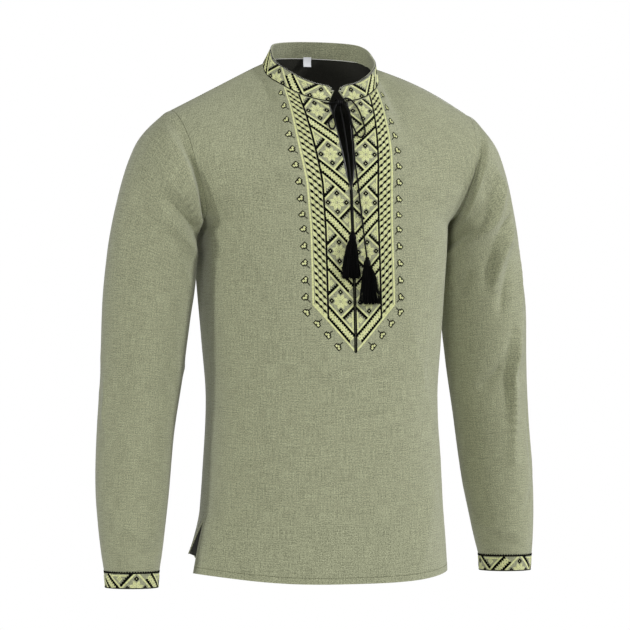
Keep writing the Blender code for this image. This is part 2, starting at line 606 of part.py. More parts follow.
def tube(name, points, finish):
    """A round cord as a curve through points, its ends closed."""
    data = bpy.data.curves.new(name, "CURVE")
    data.dimensions = "3D"
    data.bevel_depth = CORD_RADIUS
    data.bevel_resolution = 2
    data.use_fill_caps = True
    spline = data.splines.new("POLY")
    spline.points.add(len(points) - 1)
    for spot, point in zip(spline.points, points):
        spot.co = (*point, 1)
    data.materials.append(finish)
    made = bpy.data.objects.new(name, data)
    bpy.context.scene.collection.objects.link(made)
    return made


def unite(base, other):
    """Joins a helper's shape to an object with a Boolean, and leaves the helper out of the model."""
    join = base.modifiers.new("join", "BOOLEAN")
    join.operation = "UNION"
    join.solver = "EXACT"
    join.object = other
    other.hide_render = True
    other.display_type = "WIRE"


def loft(name, rings, finish):
    """A closed solid through rings of points, with a flat cap at each end."""
    rings = np.array(rings)
    count = rings.shape[1]
    faces = [list(face) for face in grid_faces(len(rings), count, True)]
    last = (len(rings) - 1) * count
    faces += [list(range(count))[::-1], list(range(last, last + count))]
    return solid(name, rings.reshape(-1, 3), faces, finish)


def knot(finish):
    """The bow's knot, with the short cord end that is sewn down beside it."""
    turns = np.linspace(0, 2 * pi, KNOT_SIDES, endpoint=False)
    rings = []
    for fall in np.linspace(radians(8), radians(172), KNOT_RINGS):
        circle = np.stack([sin(fall) * np.cos(turns), sin(fall) * np.sin(turns), cos(fall) + 0 * turns], -1)
        rings.append(np.array(KNOT) + circle * KNOT_HALF)
    made = loft("tie_knot", rings, finish)
    route = smooth_route(TIE_STUB, CORD_STEP)
    along = unit(np.gradient(route, axis=0))
    side = unit(np.cross(along, [0, 0, 1]))
    lift = np.cross(side, along)
    round_turns = np.linspace(0, 2 * pi, 8, endpoint=False)[None, :, None]
    circle = np.cos(round_turns) * side[:, None] + np.sin(round_turns) * lift[:, None]
    stub = loft("tie_stub", route[:, None] + circle * CORD_RADIUS, finish)
    unite(made, stub)
    return made


def tassel(each, finish):
    """A tassel: a turned head whose foot the strands grow out of, spreading as they fall."""
    turns = np.linspace(0, 2 * pi, HEAD_SIDES, endpoint=False)
    circle = np.stack([np.cos(turns), np.sin(turns) * HEAD_DEPTH, 0 * turns], axis=-1)
    top, foot = np.array([each.x, each.y, each.z]), np.array([each.foot_x, each.foot_y, each.foot_z])
    rings = [top + circle * width - [0, 0, fall] for fall, width in TASSEL_HEAD]
    made = loft(each.name, rings, finish)
    head_foot, head_width = TASSEL_HEAD[-1]
    chance = np.random.default_rng(len(each.name))
    points, faces = [], []
    corners = np.linspace(0, 2 * pi, STRAND_SIDES, endpoint=False)
    for index in range(STRANDS):
        turn = index * GOLDEN_TURN
        place = np.sqrt((index + 0.5) / STRANDS) * np.array([np.cos(turn), np.sin(turn), 0])
        root = top + place * [head_width * ROOT_SPREAD[0], head_width * ROOT_SPREAD[1], 0]
        root[2] -= head_foot - ROOT_DEPTH
        tip = foot + place * [each.half_width, each.half_depth, 0]
        fall = (foot[2] - root[2]) * chance.uniform(STRAND_SHORTEST, 1)
        ring = np.stack([np.cos(corners + turn), np.sin(corners + turn), 0 * corners], axis=-1)
        for share, spread, width in STRAND_STEPS:
            middle = root * (1 - spread) + tip * spread
            middle[2] = root[2] + fall * share
            points.append(middle + ring * width)
        start = index * STRAND_SIDES * len(STRAND_STEPS)
        last = start + STRAND_SIDES * (len(STRAND_STEPS) - 1)
        faces += [list(face + start) for face in grid_faces(len(STRAND_STEPS), STRAND_SIDES, True)]
        faces += [list(range(start, start + STRAND_SIDES))[::-1], list(range(last, last + STRAND_SIDES))]
    strands = solid(each.name + "_strands", np.concatenate(points), faces, finish)
    unite(made, strands)
    return made


def label(finish):
    """The blank tab that hangs inside the back of the neck."""
    x = LABEL_X + np.array([-1, 1, 1, -1]) * LABEL_WIDTH / 2
    y = LABEL_Y + np.array([-1, -1, 1, 1]) * LABEL_THICKNESS / 2
    rings = [np.stack([x, y, np.full(4, z)], axis=-1) for z in (LABEL_TOP_Z, LABEL_FOOT_Z)]
    return loft("label_tab", rings, finish)


def main():
    for each in list(bpy.data.objects):
        bpy.data.objects.remove(each)
    linen = material("olive linen", (0.29, 0.30, 0.18), 0.85)
    made = panels()
    front_panel(made, linen)
    back_panel(made, linen)
    for side in ("left", "right"):
        sleeve(made, side, linen)
        cuff(made, side, linen)
    collar(linen)
    black = material("black cord", (0.006, 0.006, 0.006), 0.6)
    for name, route in CORDS.items():
        tube(name, smooth_route(route, CORD_STEP), black)
    knot(black)
    for each in TASSELS:
        tassel(each, black)
    label(material("white tape", (0.80, 0.81, 0.83), 0.7))


main()
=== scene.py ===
"""The looks of a man's linen vyshyvanka, a pullover shirt with long set-in sleeves, a stand collar, narrow
cuffs, side vents and a neck slit, which is closed by a cord with two tassels.

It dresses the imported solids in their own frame: metres, +Z up, the front faces -Y, the wearer's left is +X,
and the origin is the middle of the neck. The ornament is charted in millimetres.
"""

from collections import namedtuple
from math import cos, pi, radians, sin

import bmesh
import bpy
import numpy as np
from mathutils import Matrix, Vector


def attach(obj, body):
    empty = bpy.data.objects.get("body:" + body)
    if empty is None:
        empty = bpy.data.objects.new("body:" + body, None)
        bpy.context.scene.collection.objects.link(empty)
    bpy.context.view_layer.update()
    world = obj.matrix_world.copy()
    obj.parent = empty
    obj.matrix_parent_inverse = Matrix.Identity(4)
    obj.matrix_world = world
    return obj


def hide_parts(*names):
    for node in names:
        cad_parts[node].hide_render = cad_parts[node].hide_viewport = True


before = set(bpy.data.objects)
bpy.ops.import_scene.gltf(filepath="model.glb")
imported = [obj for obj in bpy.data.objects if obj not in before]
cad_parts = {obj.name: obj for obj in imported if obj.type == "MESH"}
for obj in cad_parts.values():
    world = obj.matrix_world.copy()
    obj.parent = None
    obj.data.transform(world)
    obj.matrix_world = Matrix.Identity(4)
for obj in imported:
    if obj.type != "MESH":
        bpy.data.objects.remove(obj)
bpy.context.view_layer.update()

# The view: the camera stands level with the middle of the shirt, six metres off and a little to the
# wearer's right. The two shifts frame the shirt as a square picture of PICTURE_SIDE pixels shows it.
VIEW_TURN = radians(22)
VIEW_HEIGHT = -0.325
VIEW_DISTANCE = 6.0
LENS_MM = 241.37
PICTURE_SIDE = 630
SHIFT_PIXELS = (-6, -20)

view = bpy.data.cameras.new("view")
view.lens = LENS_MM
view.shift_x, view.shift_y = (shift / PICTURE_SIDE for shift in SHIFT_PIXELS)
view.clip_end = 50
camera = bpy.data.objects.new("camera", view)
camera.location = (-VIEW_DISTANCE * sin(VIEW_TURN), -VIEW_DISTANCE * cos(VIEW_TURN), VIEW_HEIGHT)
camera.rotation_euler = (pi / 2, 0, -VIEW_TURN)
bpy.context.scene.collection.objects.link(camera)
bpy.context.scene.camera = camera

# The studio: a pale round floor where the wearer would stand, a white surround, a soft key light from the
# wearer's left front, a tall strip at each side that rakes over the folds, two that fill in, one behind.
FLOOR_Z = -1.45
FLOOR_RADIUS = 3.0
FLOOR_SIDES = 64
SURROUND_LIGHT = 0.05


def linear(hex_colour):
    """An sRGB colour such as "#a1a587" as linear red, green, blue and alpha."""
    parts = np.array([int(hex_colour[i : i + 2], 16) for i in (1, 3, 5)]) / 255
    return (*np.where(parts <= 0.04045, parts / 12.92, ((parts + 0.055) / 1.055) ** 2.4), 1)


def add(tree, kind, inputs=None, **settings):
    """One node of a kind with its settings, and for each input a value or another node's output."""
    made = tree.nodes.new("ShaderNode" + kind)
    for name, value in settings.items():
        setattr(made, name, value)
    for name, value in (inputs or {}).items():
        if isinstance(value, bpy.types.NodeSocket):
            tree.links.new(value, made.inputs[name])
        else:
            made.inputs[name].default_value = value
    return made


def surface(name, colour, roughness, **more):
    """A material with its Principled surface; more names its other sockets, with _ for a space."""
    made = bpy.data.materials.new(name)
    made.use_nodes = True
    base = made.node_tree.nodes["Principled BSDF"]
    base.inputs["Base Color"].default_value = linear(colour)
    base.inputs["Roughness"].default_value = roughness
    for socket, value in more.items():
        base.inputs[socket.replace("_", " ")].default_value = value
    return made, made.node_tree, base


def lamp(name, place, size, power):
    """A soft white rectangular light at a place, turned to face the middle of the shirt."""
    data = bpy.data.lights.new(name, "AREA")
    data.shape = "RECTANGLE"
    data.size, data.size_y = size
    data.energy = power
    made = bpy.data.objects.new(name, data)
    made.location = place
    away = Vector(place) - Vector((0, 0, VIEW_HEIGHT))
    made.rotation_euler = away.to_track_quat("Z", "Y").to_euler()
    bpy.context.scene.collection.objects.link(made)


world = bpy.data.worlds.new("studio")
bpy.context.scene.world = world
world.use_nodes = True
backdrop = world.node_tree.nodes["Background"]
backdrop.inputs["Color"].default_value = (1, 1, 1, 1)
seen = add(world.node_tree, "LightPath")
strength = add(world.node_tree, "MapRange", {0: seen.outputs["Is Camera Ray"], 3: SURROUND_LIGHT, 4: 1.0})
world.node_tree.links.new(strength.outputs[0], backdrop.inputs["Strength"])
bpy.context.scene.view_settings.view_transform = "Standard"
lamp("key", (3.7, -3.1, 1.5), (0.6, 0.6), 132)
lamp("side_left", (4.5, -0.8, 1.3), (0.4, 1.4), 84)
lamp("side_right", (-4.5, -1.4, 1.1), (0.5, 1.4), 90)
lamp("fill", (-2.9, -4.4, 0.7), (1.0, 1.0), 74)
lamp("top", (-0.5, -2.6, 4.0), (1.2, 1.2), 62)
lamp("behind", (2.4, 4.6, 1.2), (1.6, 1.6), 120)

turns = np.linspace(0, 2 * pi, FLOOR_SIDES, endpoint=False)
floor_mesh = bpy.data.meshes.new("floor")
floor_rim = FLOOR_RADIUS * np.stack([np.cos(turns), np.sin(turns), 0 * turns], axis=-1)
floor_rim[:, 2] = FLOOR_Z
floor_mesh.from_pydata(floor_rim.tolist(), [], [list(range(len(turns)))])
floor_mesh.materials.append(surface("matt white paint", "#eeeeec", 0.9)[0])
floor = bpy.data.objects.new("floor", floor_mesh)
bpy.context.scene.collection.objects.link(floor)

# The ties: one round black cord, knotted in a bow at the foot of the collar. Its two ends hang down the
# slit to the tassels, and its two loops lie to either side. It is a three-ply twist of polished cotton.
CORD_RADIUS = 0.00125
CORD_STEP = 0.0006
CORD_SIDES = 12
CORD_PLIES = 3
PLY_DEPTH = 0.14
PLY_PITCH = 0.0052
TIES = {
    "tie_end_left": [
        (-0.0003, -0.0713, -0.0597), (-0.0007, -0.0840, -0.0824), (-0.0013, -0.0986, -0.1152),
        (-0.0012, -0.1111, -0.1575), (0.0001, -0.1155, -0.1869), (-0.0011, -0.1196, -0.2180),
        (-0.0045, -0.1276, -0.2346), (-0.0058, -0.1298, -0.2466),
    ],
    "tie_end_right": [
        (0.0053, -0.0700, -0.0572), (0.0097, -0.0715, -0.0600), (0.0127, -0.0745, -0.0660),
        (0.0125, -0.0805, -0.0770), (0.0115, -0.0881, -0.0908), (0.0096, -0.0971, -0.1108),
        (0.0083, -0.1046, -0.1320), (0.0107, -0.1146, -0.1795), (0.0143, -0.1187, -0.2223),
        (0.0157, -0.1230, -0.2480), (0.0157, -0.1309, -0.2712), (0.0168, -0.1325, -0.2832),
    ],
    "tie_loop_right": [
        (0.0047, -0.0685, -0.0510), (0.0095, -0.0679, -0.0486), (0.0155, -0.0665, -0.0490),
        (0.0222, -0.0658, -0.0536), (0.0267, -0.0692, -0.0604), (0.0291, -0.0757, -0.0702),
        (0.0302, -0.0815, -0.0799), (0.0310, -0.0861, -0.0884), (0.0305, -0.0893, -0.0954),
        (0.0269, -0.0922, -0.1014), (0.0223, -0.0934, -0.1039), (0.0177, -0.0929, -0.1012),
        (0.0140, -0.0923, -0.0940), (0.0113, -0.0883, -0.0850), (0.0100, -0.0811, -0.0716),
        (0.0083, -0.0755, -0.0620), (0.0053, -0.0723, -0.0556),
    ],
    "tie_loop_left": [
        (-0.0067, -0.0692, -0.0578), (-0.0103, -0.0718, -0.0640), (-0.0137, -0.0787, -0.0757),
        (-0.0189, -0.0814, -0.0794), (-0.0223, -0.0842, -0.0845), (-0.0221, -0.0869, -0.0899),
        (-0.0189, -0.0883, -0.0928), (-0.0148, -0.0870, -0.0904), (-0.0127, -0.0848, -0.0845),
        (-0.0133, -0.0824, -0.0776), (-0.0125, -0.0778, -0.0698), (-0.0093, -0.0744, -0.0618),
        (-0.0057, -0.0727, -0.0574),
    ],
}
KNOT = (-0.0007, -0.0692, -0.0545)
KNOT_HALF = (0.0062, 0.0042, 0.0050)
KNOT_TURNS = 3
KNOT_POINTS = 130
# The winding's length and radius, and the core inside it, as shares of the knot's half size
WINDING_LENGTH = 1.3
WINDING_RADIUS = 0.86
CORE_SHARE = 0.82
CORE_RINGS = 12
CORE_SIDES = 20
CORE_POLE = 0.05
TIE_STUB = [
    (-0.0231, -0.0659, -0.0546), (-0.0165, -0.0671, -0.0556), (-0.0095, -0.0682, -0.0550),
    (-0.0015, -0.0690, -0.0545),
]


def unit(vectors):
    return vectors / np.linalg.norm(vectors, axis=-1, keepdims=True)


def smooth_through(places, keys, at):
    """A cubic curve through keys, arrays of one shape at rising places, that never swings past a key.

    Its slope at a key is twice the product of the rates on both sides over their sum, or 0 at a turn."""
    places, keys, at = (np.asarray(part, float) for part in (places, keys, at))
    rates = np.diff(keys, axis=0) / np.diff(places).reshape(-1, *[1] * (keys.ndim - 1))
    before, after = rates[:-1], rates[1:]
    same_way = before * after > 0
    between = np.where(same_way, 2 * before * after / np.where(same_way, before + after, 1), 0)
    slopes = np.concatenate([rates[:1], between, rates[-1:]])
    i = np.clip(np.searchsorted(places, at, "right") - 1, 0, len(places) - 2)
    step = (places[i + 1] - places[i]).reshape(-1, *[1] * (keys.ndim - 1))
    t = ((at - places[i]) / (places[i + 1] - places[i])).reshape(step.shape)
    return (
        (2 * t**3 - 3 * t**2 + 1) * keys[i]
        + (t**3 - 2 * t**2 + t) * step * slopes[i]
        + (3 * t**2 - 2 * t**3) * keys[i + 1]
        + (t**3 - t**2) * step * slopes[i + 1]
    )


def route(points, step):
    """Points a step apart along a smooth curve through a route's own points."""
    points = np.array(points)
    lengths = np.concatenate([[0], np.cumsum(np.linalg.norm(np.diff(points, axis=0), axis=1))])
    return smooth_through(lengths, points, np.linspace(0, lengths[-1], round(lengths[-1] / step) + 1))


def grid_faces(rows, columns, around=False):
    """The quads of a grid whose points are numbered row by row."""
    across = columns if around else columns - 1
    row, column = (part.ravel() for part in np.mgrid[: rows - 1, :across])
    first, second = row * columns + column, row * columns + (column + 1) % columns
    return np.stack([first, second, second + columns, first + columns], axis=-1)


def put(name, points, faces, finishes, corners_uv=None, finish_of=None):
    """One object that rides on the shirt's only body, its faces turned outwards and its round sides smooth.

    faces is an array, or a list of arrays with different numbers of corners. corners_uv has one point for
    each corner of each face, and finish_of the number of each face's finish."""
    groups = faces if isinstance(faces, list) else [faces]
    mesh = bpy.data.meshes.new(name)
    mesh.from_pydata(np.asarray(points).reshape(-1, 3).tolist(), [], [f for g in groups for f in g.tolist()])
    if corners_uv is not None:
        mesh.uv_layers.new(name="cloth").data.foreach_set("uv", np.ravel(corners_uv))
    if finish_of is not None:
        mesh.polygons.foreach_set("material_index", finish_of)
    shape = bmesh.new()
    shape.from_mesh(mesh)
    bmesh.ops.recalc_face_normals(shape, faces=shape.faces)
    shape.to_mesh(mesh)
    shape.free()
    mesh.shade_smooth()
    mesh.set_sharp_from_angle(angle=radians(50))
    for finish in finishes if isinstance(finishes, list) else [finishes]:
        mesh.materials.append(finish)
    made = bpy.data.objects.new(name, mesh)
    bpy.context.scene.collection.objects.link(made)
    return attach(made, "root")


def rope(path):
    """The rings of the twisted cord along a path: a circle whose radius dips between its turning plies."""
    along = unit(np.gradient(path, axis=0))
    side = unit(np.cross(along, [0, 1, 0]))
    lift = np.cross(side, along)
    turn = np.linspace(0, 2 * pi, CORD_SIDES, endpoint=False)
    run = np.concatenate([[0], np.cumsum(np.linalg.norm(np.diff(path, axis=0), axis=1))])
    twist = turn + 2 * pi * run[:, None] / PLY_PITCH
    wide = CORD_RADIUS * (1 - PLY_DEPTH + PLY_DEPTH * np.abs(np.cos(twist * CORD_PLIES / 2)))[..., None]
    circle = np.cos(turn)[:, None] * side[:, None] + np.sin(turn)[:, None] * lift[:, None]
    return path[:, None] + wide * circle


def capped(rows, columns):
    """The faces of a tube of rings, with one cap at each end."""
    last = (rows - 1) * columns
    ends = np.array([np.arange(columns)[::-1], np.arange(last, last + columns)])
    return [grid_faces(rows, columns, True), ends]


# Polished cotton cord, dyed black: it gives a soft, fibrous highlight along each ply.
black_cord, tree, base = surface("black polished cotton cord", "#030303", 0.5, Specular_IOR_Level=0.15)
place = add(tree, "TexCoord").outputs["Object"]
# Fibres of 0.15 mm would not show, so they are drawn 0.5 mm apart.
fibre = add(tree, "TexNoise", {"Vector": place, "Scale": 2000.0, "Detail": 3.0})
rough = add(tree, "MapRange", {0: fibre.outputs["Fac"], 3: 0.42, 4: 0.7})
bump = add(tree, "Bump", {"Height": fibre.outputs["Fac"], "Strength": 0.35, "Distance": 0.0002})
tree.links.new(rough.outputs[0], base.inputs["Roughness"])
tree.links.new(bump.outputs[0], base.inputs["Normal"])

ties = {}
for name, points in TIES.items():
    path = route(points, CORD_STEP)
    rings = rope(path)
    ties[name] = put("cord_" + name, rings, capped(*rings.shape[:2]), black_cord)
    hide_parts(name)

# The knot: the bow's own turns, drawn tight round one another, with the short end that is sewn down
# beside it. It is wound from the same cord over a core.
turn = np.linspace(0, 2 * pi * KNOT_TURNS, KNOT_POINTS)
along = (turn / turn[-1] - 0.5) * WINDING_LENGTH
wound = np.stack([along, WINDING_RADIUS * np.cos(turn), WINDING_RADIUS * np.sin(turn)], axis=-1)
winding = rope(np.array(KNOT) + wound * KNOT_HALF)
fall = np.linspace(CORE_POLE, pi - CORE_POLE, CORE_RINGS)[:, None]
turn = np.linspace(0, 2 * pi, CORE_SIDES, endpoint=False)
core = np.stack([np.cos(fall) + 0 * turn, np.sin(fall) * np.cos(turn), np.sin(fall) * np.sin(turn)], axis=-1)
core = np.array(KNOT) + core * KNOT_HALF * CORE_SHARE
stub = rope(route(TIE_STUB, CORD_STEP))
points, faces = [], [[], []]
for rings in (winding, core, stub):
    for group, more in zip(faces, capped(*rings.shape[:2])):
        group.append((more + sum(map(len, points)), more.shape[1]))
    points.append(rings.reshape(-1, 3))
knot_faces = [part for group in faces for part, _ in group]
knot = put("knot", np.concatenate(points), knot_faces, black_cord)
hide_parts("tie_knot")

# The tassels: a moulded head bound with thread, and a skirt of loose rayon threads that grow out of its
# foot and part as they fall.
Tassel = namedtuple("Tassel", "name tie x y z foot_x foot_y foot_z half_width half_depth")
TASSELS = [
    Tassel(
        "tassel_left", "tie_end_left",
        -0.0050, -0.1296, -0.2352, -0.0088, -0.1312, -0.3030, 0.0148, 0.0074,
    ),
    Tassel(
        "tassel_right", "tie_end_right",
        0.0160, -0.1322, -0.2718, 0.0207, -0.1335, -0.3385, 0.0172, 0.0074,
    ),
]
# The head's half width at each height below its top
TASSEL_HEAD = [
    (0.0000, 0.0012), (0.0008, 0.0024), (0.0022, 0.0031), (0.0033, 0.0028), (0.0040, 0.0026),
    (0.0052, 0.0038), (0.0068, 0.0047), (0.0085, 0.0052), (0.0100, 0.0053), (0.0118, 0.0052),
    (0.0135, 0.0049),
]
HEAD_SIDES = 24
HEAD_ROWS = 40
HEAD_DEPTH = 0.8
BINDING_FROM = 0.0030
BINDING_TO = 0.0048
BINDING_RIDGE = 0.0004
BINDING_PITCH = 0.0006
THREADS = 124
THREAD_SIDES = 4
THREAD_POINTS = 7
# Where the roots lie, as shares of the head's foot, and how far above it
ROOT_SHARE = (0.86, 0.66)
ROOT_ABOVE_FOOT = 0.002
SHORTEST_THREAD = 0.93
SPREAD_POWER = 0.62
WAVE_TURN = (4, 8)
THREAD_SWELLS = (0.7, 0.6)
THREAD_WIDTH = 0.00042
THREAD_WAVE = 0.0007
GOLDEN_TURN = 2.39996

# Black rayon floss: a smooth filament thread, with a long glint down each thread.
black_floss, tree, base = surface("black rayon floss", "#010101", 0.5, Specular_IOR_Level=0.06)
place = add(tree, "TexCoord").outputs["Object"]
stretched = add(tree, "Mapping", {"Vector": place, "Scale": (2500.0, 2500.0, 120.0)})
strand = add(tree, "TexNoise", {"Vector": stretched.outputs[0], "Scale": 1.0, "Detail": 2.0})
rough = add(tree, "MapRange", {0: strand.outputs["Fac"], 3: 0.4, 4: 0.7})
tree.links.new(rough.outputs[0], base.inputs["Roughness"])


def tassel(each):
    """The head is a profile turned round an upright axis; a thread's middle runs from its root in the head's
    foot to its tip, spreading as a power of its fall, with a sine wave of its own across it."""
    chance = np.random.default_rng(len(each.name))
    turn = np.linspace(0, 2 * pi, HEAD_SIDES, endpoint=False)
    circle = np.stack([np.cos(turn), np.sin(turn) * HEAD_DEPTH, 0 * turn], axis=-1)
    top, foot = np.array([each.x, each.y, each.z]), np.array([each.foot_x, each.foot_y, each.foot_z])
    profile = np.array(TASSEL_HEAD)
    down = np.linspace(0, profile[-1, 0], HEAD_ROWS)
    wide = smooth_through(profile[:, 0], profile[:, 1], down)
    bound = (down > BINDING_FROM) & (down < BINDING_TO)
    wide = wide + np.where(bound, BINDING_RIDGE * np.abs(np.sin(down / BINDING_PITCH * pi)), 0)
    head = top + circle * wide[:, None, None] - down[:, None, None] * np.array([0, 0, 1])
    index = np.arange(THREADS)
    turn = index * GOLDEN_TURN
    out = np.sqrt((index + 0.5) / THREADS)
    place = np.stack([out * np.cos(turn), out * np.sin(turn), 0 * turn], axis=-1)
    head_foot, head_wide = profile[-1]
    root = top + place * [head_wide * ROOT_SHARE[0], head_wide * ROOT_SHARE[1], 0]
    root = root - [0, 0, head_foot - ROOT_ABOVE_FOOT]
    tip = foot + place * [each.half_width, each.half_depth, 0]
    tip[:, 2] = root[:, 2] + (foot[2] - root[:, 2]) * chance.uniform(SHORTEST_THREAD, 1, THREADS)
    share = np.linspace(0, 1, THREAD_POINTS)[None, :, None]
    spread = share**SPREAD_POWER * [1, 1, 0] + share * [0, 0, 1]
    middle = root[:, None] * (1 - spread) + tip[:, None] * spread
    phase = chance.uniform(0, 2 * pi, (THREADS, 1))
    turned = share[..., 0] * chance.uniform(*WAVE_TURN, (THREADS, 1))
    middle[..., 0] += THREAD_WAVE * share[..., 0] * np.sin(phase + turned)
    corner = np.linspace(0, 2 * pi, THREAD_SIDES, endpoint=False)
    ring = np.stack([np.cos(corner), np.sin(corner), 0 * corner], axis=-1)
    swell = THREAD_SWELLS[0] + THREAD_SWELLS[1] * share[..., None]
    strands = middle[:, :, None] + ring * THREAD_WIDTH * swell
    each_count = strands.shape[1] * THREAD_SIDES
    sides, ends = capped(strands.shape[1], THREAD_SIDES)
    start = len(head) * HEAD_SIDES + (index * each_count)[:, None, None]
    faces = capped(len(head), HEAD_SIDES)
    faces += [(part + start).reshape(-1, part.shape[1]) for part in (sides, ends)]
    return np.concatenate([head.reshape(-1, 3), strands.reshape(-1, 3)]), faces


for each in TASSELS:
    made = put(each.name + "_floss", *tassel(each), black_floss)
    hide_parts(each.name)
    tie = ties.pop(each.tie)
    route(TIES[each.tie], CORD_STEP)
for name, loop in ties.items():
    route(TIES[name], CORD_STEP)

# The front and the back: one piece of linen each, cut to the shoulder seams, the armholes and the side
# seams, with open vents at the foot of the sides. The front is slit from the neck. The wall is the cloth.
SEAM_GAP = 0.0003
CLOTH = 0.0013
DOUBLE_CLOTH = 0.0020
NECK_HALF_WIDTH = 0.0845
NECK_FRONT = 0.064
NECK_BACK = 0.068
NECK_Y = (-0.064, -0.032, 0.000, 0.019, 0.036, 0.068)
NECK_Z = (-0.0535, -0.0290, -0.0125, 0.0010, 0.0080, 0.0140)
SHOULDER_TURN = 110.0
SHOULDER = (0.226, 0.000, -0.066)
SHOULDER_CROWN = (0.000, -0.006, 0.004)
LIFT_FROM_Z = -0.160
SHOULDER_LIFT = {"left": 0.0022, "right": -0.0033}
LIFT_EASE = 0.1
TOP_ROUNDING = 30
SLIT_TOP_HALF = 0.0128
SLIT_FOOT_Z = -0.172
SLIT_CURVE = 0.55
HEM_RISE = {"left": 0.014, "right": 0.012}
BACK_HEM_RISE = 0.038
VENT_TOP_Z = -0.632
FRONT_FLARE = {"left": 0.001, "right": 0.0125}
BACK_FLARE = {"left": 0.018, "right": 0.031}
VENT_FLARE_DEPTH = 0.050
VENT_STEP_BACK = 0.004
# Columns from the middle to an edge, and rows below and above the armpit
FRONT_COLUMNS = 76
BACK_COLUMNS = 60
ROWS_BELOW = 150
ROWS_ABOVE = 76
NECK_SHARE = 0.5
# Over so many of its highest rows the front's slit takes up the neckline's own points.
NECK_ROWS = 6

# A section of half a panel: its point on the centre line, its point on the side seam or the armhole, the
# angle that its arc turns through, how full its corner is (1 is an ellipse, less is squarer), and how far it
# has taken on the bend of the neckline and the shoulder.
Section = namedtuple("Section", "name centre_y centre_z edge_x edge_y edge_z arc corner neck")
FRONT = [
    Section("hem", -0.1300, -0.7275, 0.1815, 0.000, -0.7275, 90, 0.84, 0.0),
    Section("vent", -0.1310, -0.6870, 0.1790, 0.000, -0.6870, 90, 0.84, 0.0),
    Section("hip", -0.1310, -0.5810, 0.1705, 0.000, -0.5810, 90, 0.82, 0.0),
    Section("waist", -0.1305, -0.4740, 0.1655, 0.000, -0.4740, 90, 0.82, 0.0),
    Section("ribs", -0.1290, -0.3890, 0.1710, 0.000, -0.3890, 90, 0.80, 0.0),
    Section("chest", -0.1235, -0.3000, 0.1775, 0.000, -0.3000, 90, 0.76, 0.0),
    Section("armpit", -0.1185, -0.2420, 0.1815, 0.000, -0.2350, 90, 0.74, 0.0),
    Section("hollow", -0.1155, -0.2080, 0.1900, -0.046, -0.2080, 64, 0.84, 0.0),
    Section("armhole", -0.1120, SLIT_FOOT_Z, 0.2010, -0.060, -0.1760, 54, 0.96, 0.0),
    Section("breast", -0.1050, -0.1400, 0.2110, -0.064, -0.1450, 48, 1.00, 0.12),
    Section("yoke", -0.0935, -0.1080, 0.2175, -0.055, -0.1120, 48, 1.00, 0.42),
    Section("slope", -0.0790, -0.0790, 0.2220, -0.034, -0.0840, 52, 1.00, 0.82),
    Section("ridge", -0.0690, -0.0630, 0.2250, -0.013, -0.0695, 60, 1.00, 0.97),
    Section("top", NECK_Y[0], NECK_Z[0], *SHOULDER, 90, 1.00, 1.0),
]
BACK = [
    Section("hem", 0.1330, -0.7275, 0.1815, 0.000, -0.7275, 90, 0.84, 0.0),
    Section("vent", 0.1270, -0.6870, 0.1790, 0.000, -0.6870, 90, 0.84, 0.0),
    Section("hip", 0.1185, -0.5810, 0.1705, 0.000, -0.5810, 90, 0.82, 0.0),
    Section("waist", 0.1125, -0.4740, 0.1655, 0.000, -0.4740, 90, 0.82, 0.0),
    Section("ribs", 0.1185, -0.3890, 0.1710, 0.000, -0.3890, 90, 0.80, 0.0),
    Section("chest", 0.1255, -0.3000, 0.1775, 0.000, -0.3000, 90, 0.76, 0.0),
    Section("armpit", 0.1295, -0.2450, 0.1815, 0.000, -0.2350, 90, 0.74, 0.0),
    Section("hollow", 0.1280, -0.1950, 0.1905, 0.052, -0.2090, 64, 0.90, 0.0),
    Section("armhole", 0.1230, -0.1480, 0.2030, 0.074, -0.1790, 52, 1.00, 0.0),
    Section("blade", 0.1145, -0.1030, 0.2130, 0.078, -0.1450, 46, 1.00, 0.20),
    Section("yoke", 0.1020, -0.0600, 0.2180, 0.064, -0.1130, 46, 1.00, 0.55),
    Section("slope", 0.0850, -0.0200, 0.2220, 0.036, -0.0850, 52, 1.00, 0.90),
    Section("ridge", 0.0745, 0.0010, 0.2250, 0.013, -0.0700, 60, 1.00, 0.97),
    Section("top", NECK_Y[-1], NECK_Z[-1], *SHOULDER, 90, 1.00, 1.0),
]
ARMPIT = 6

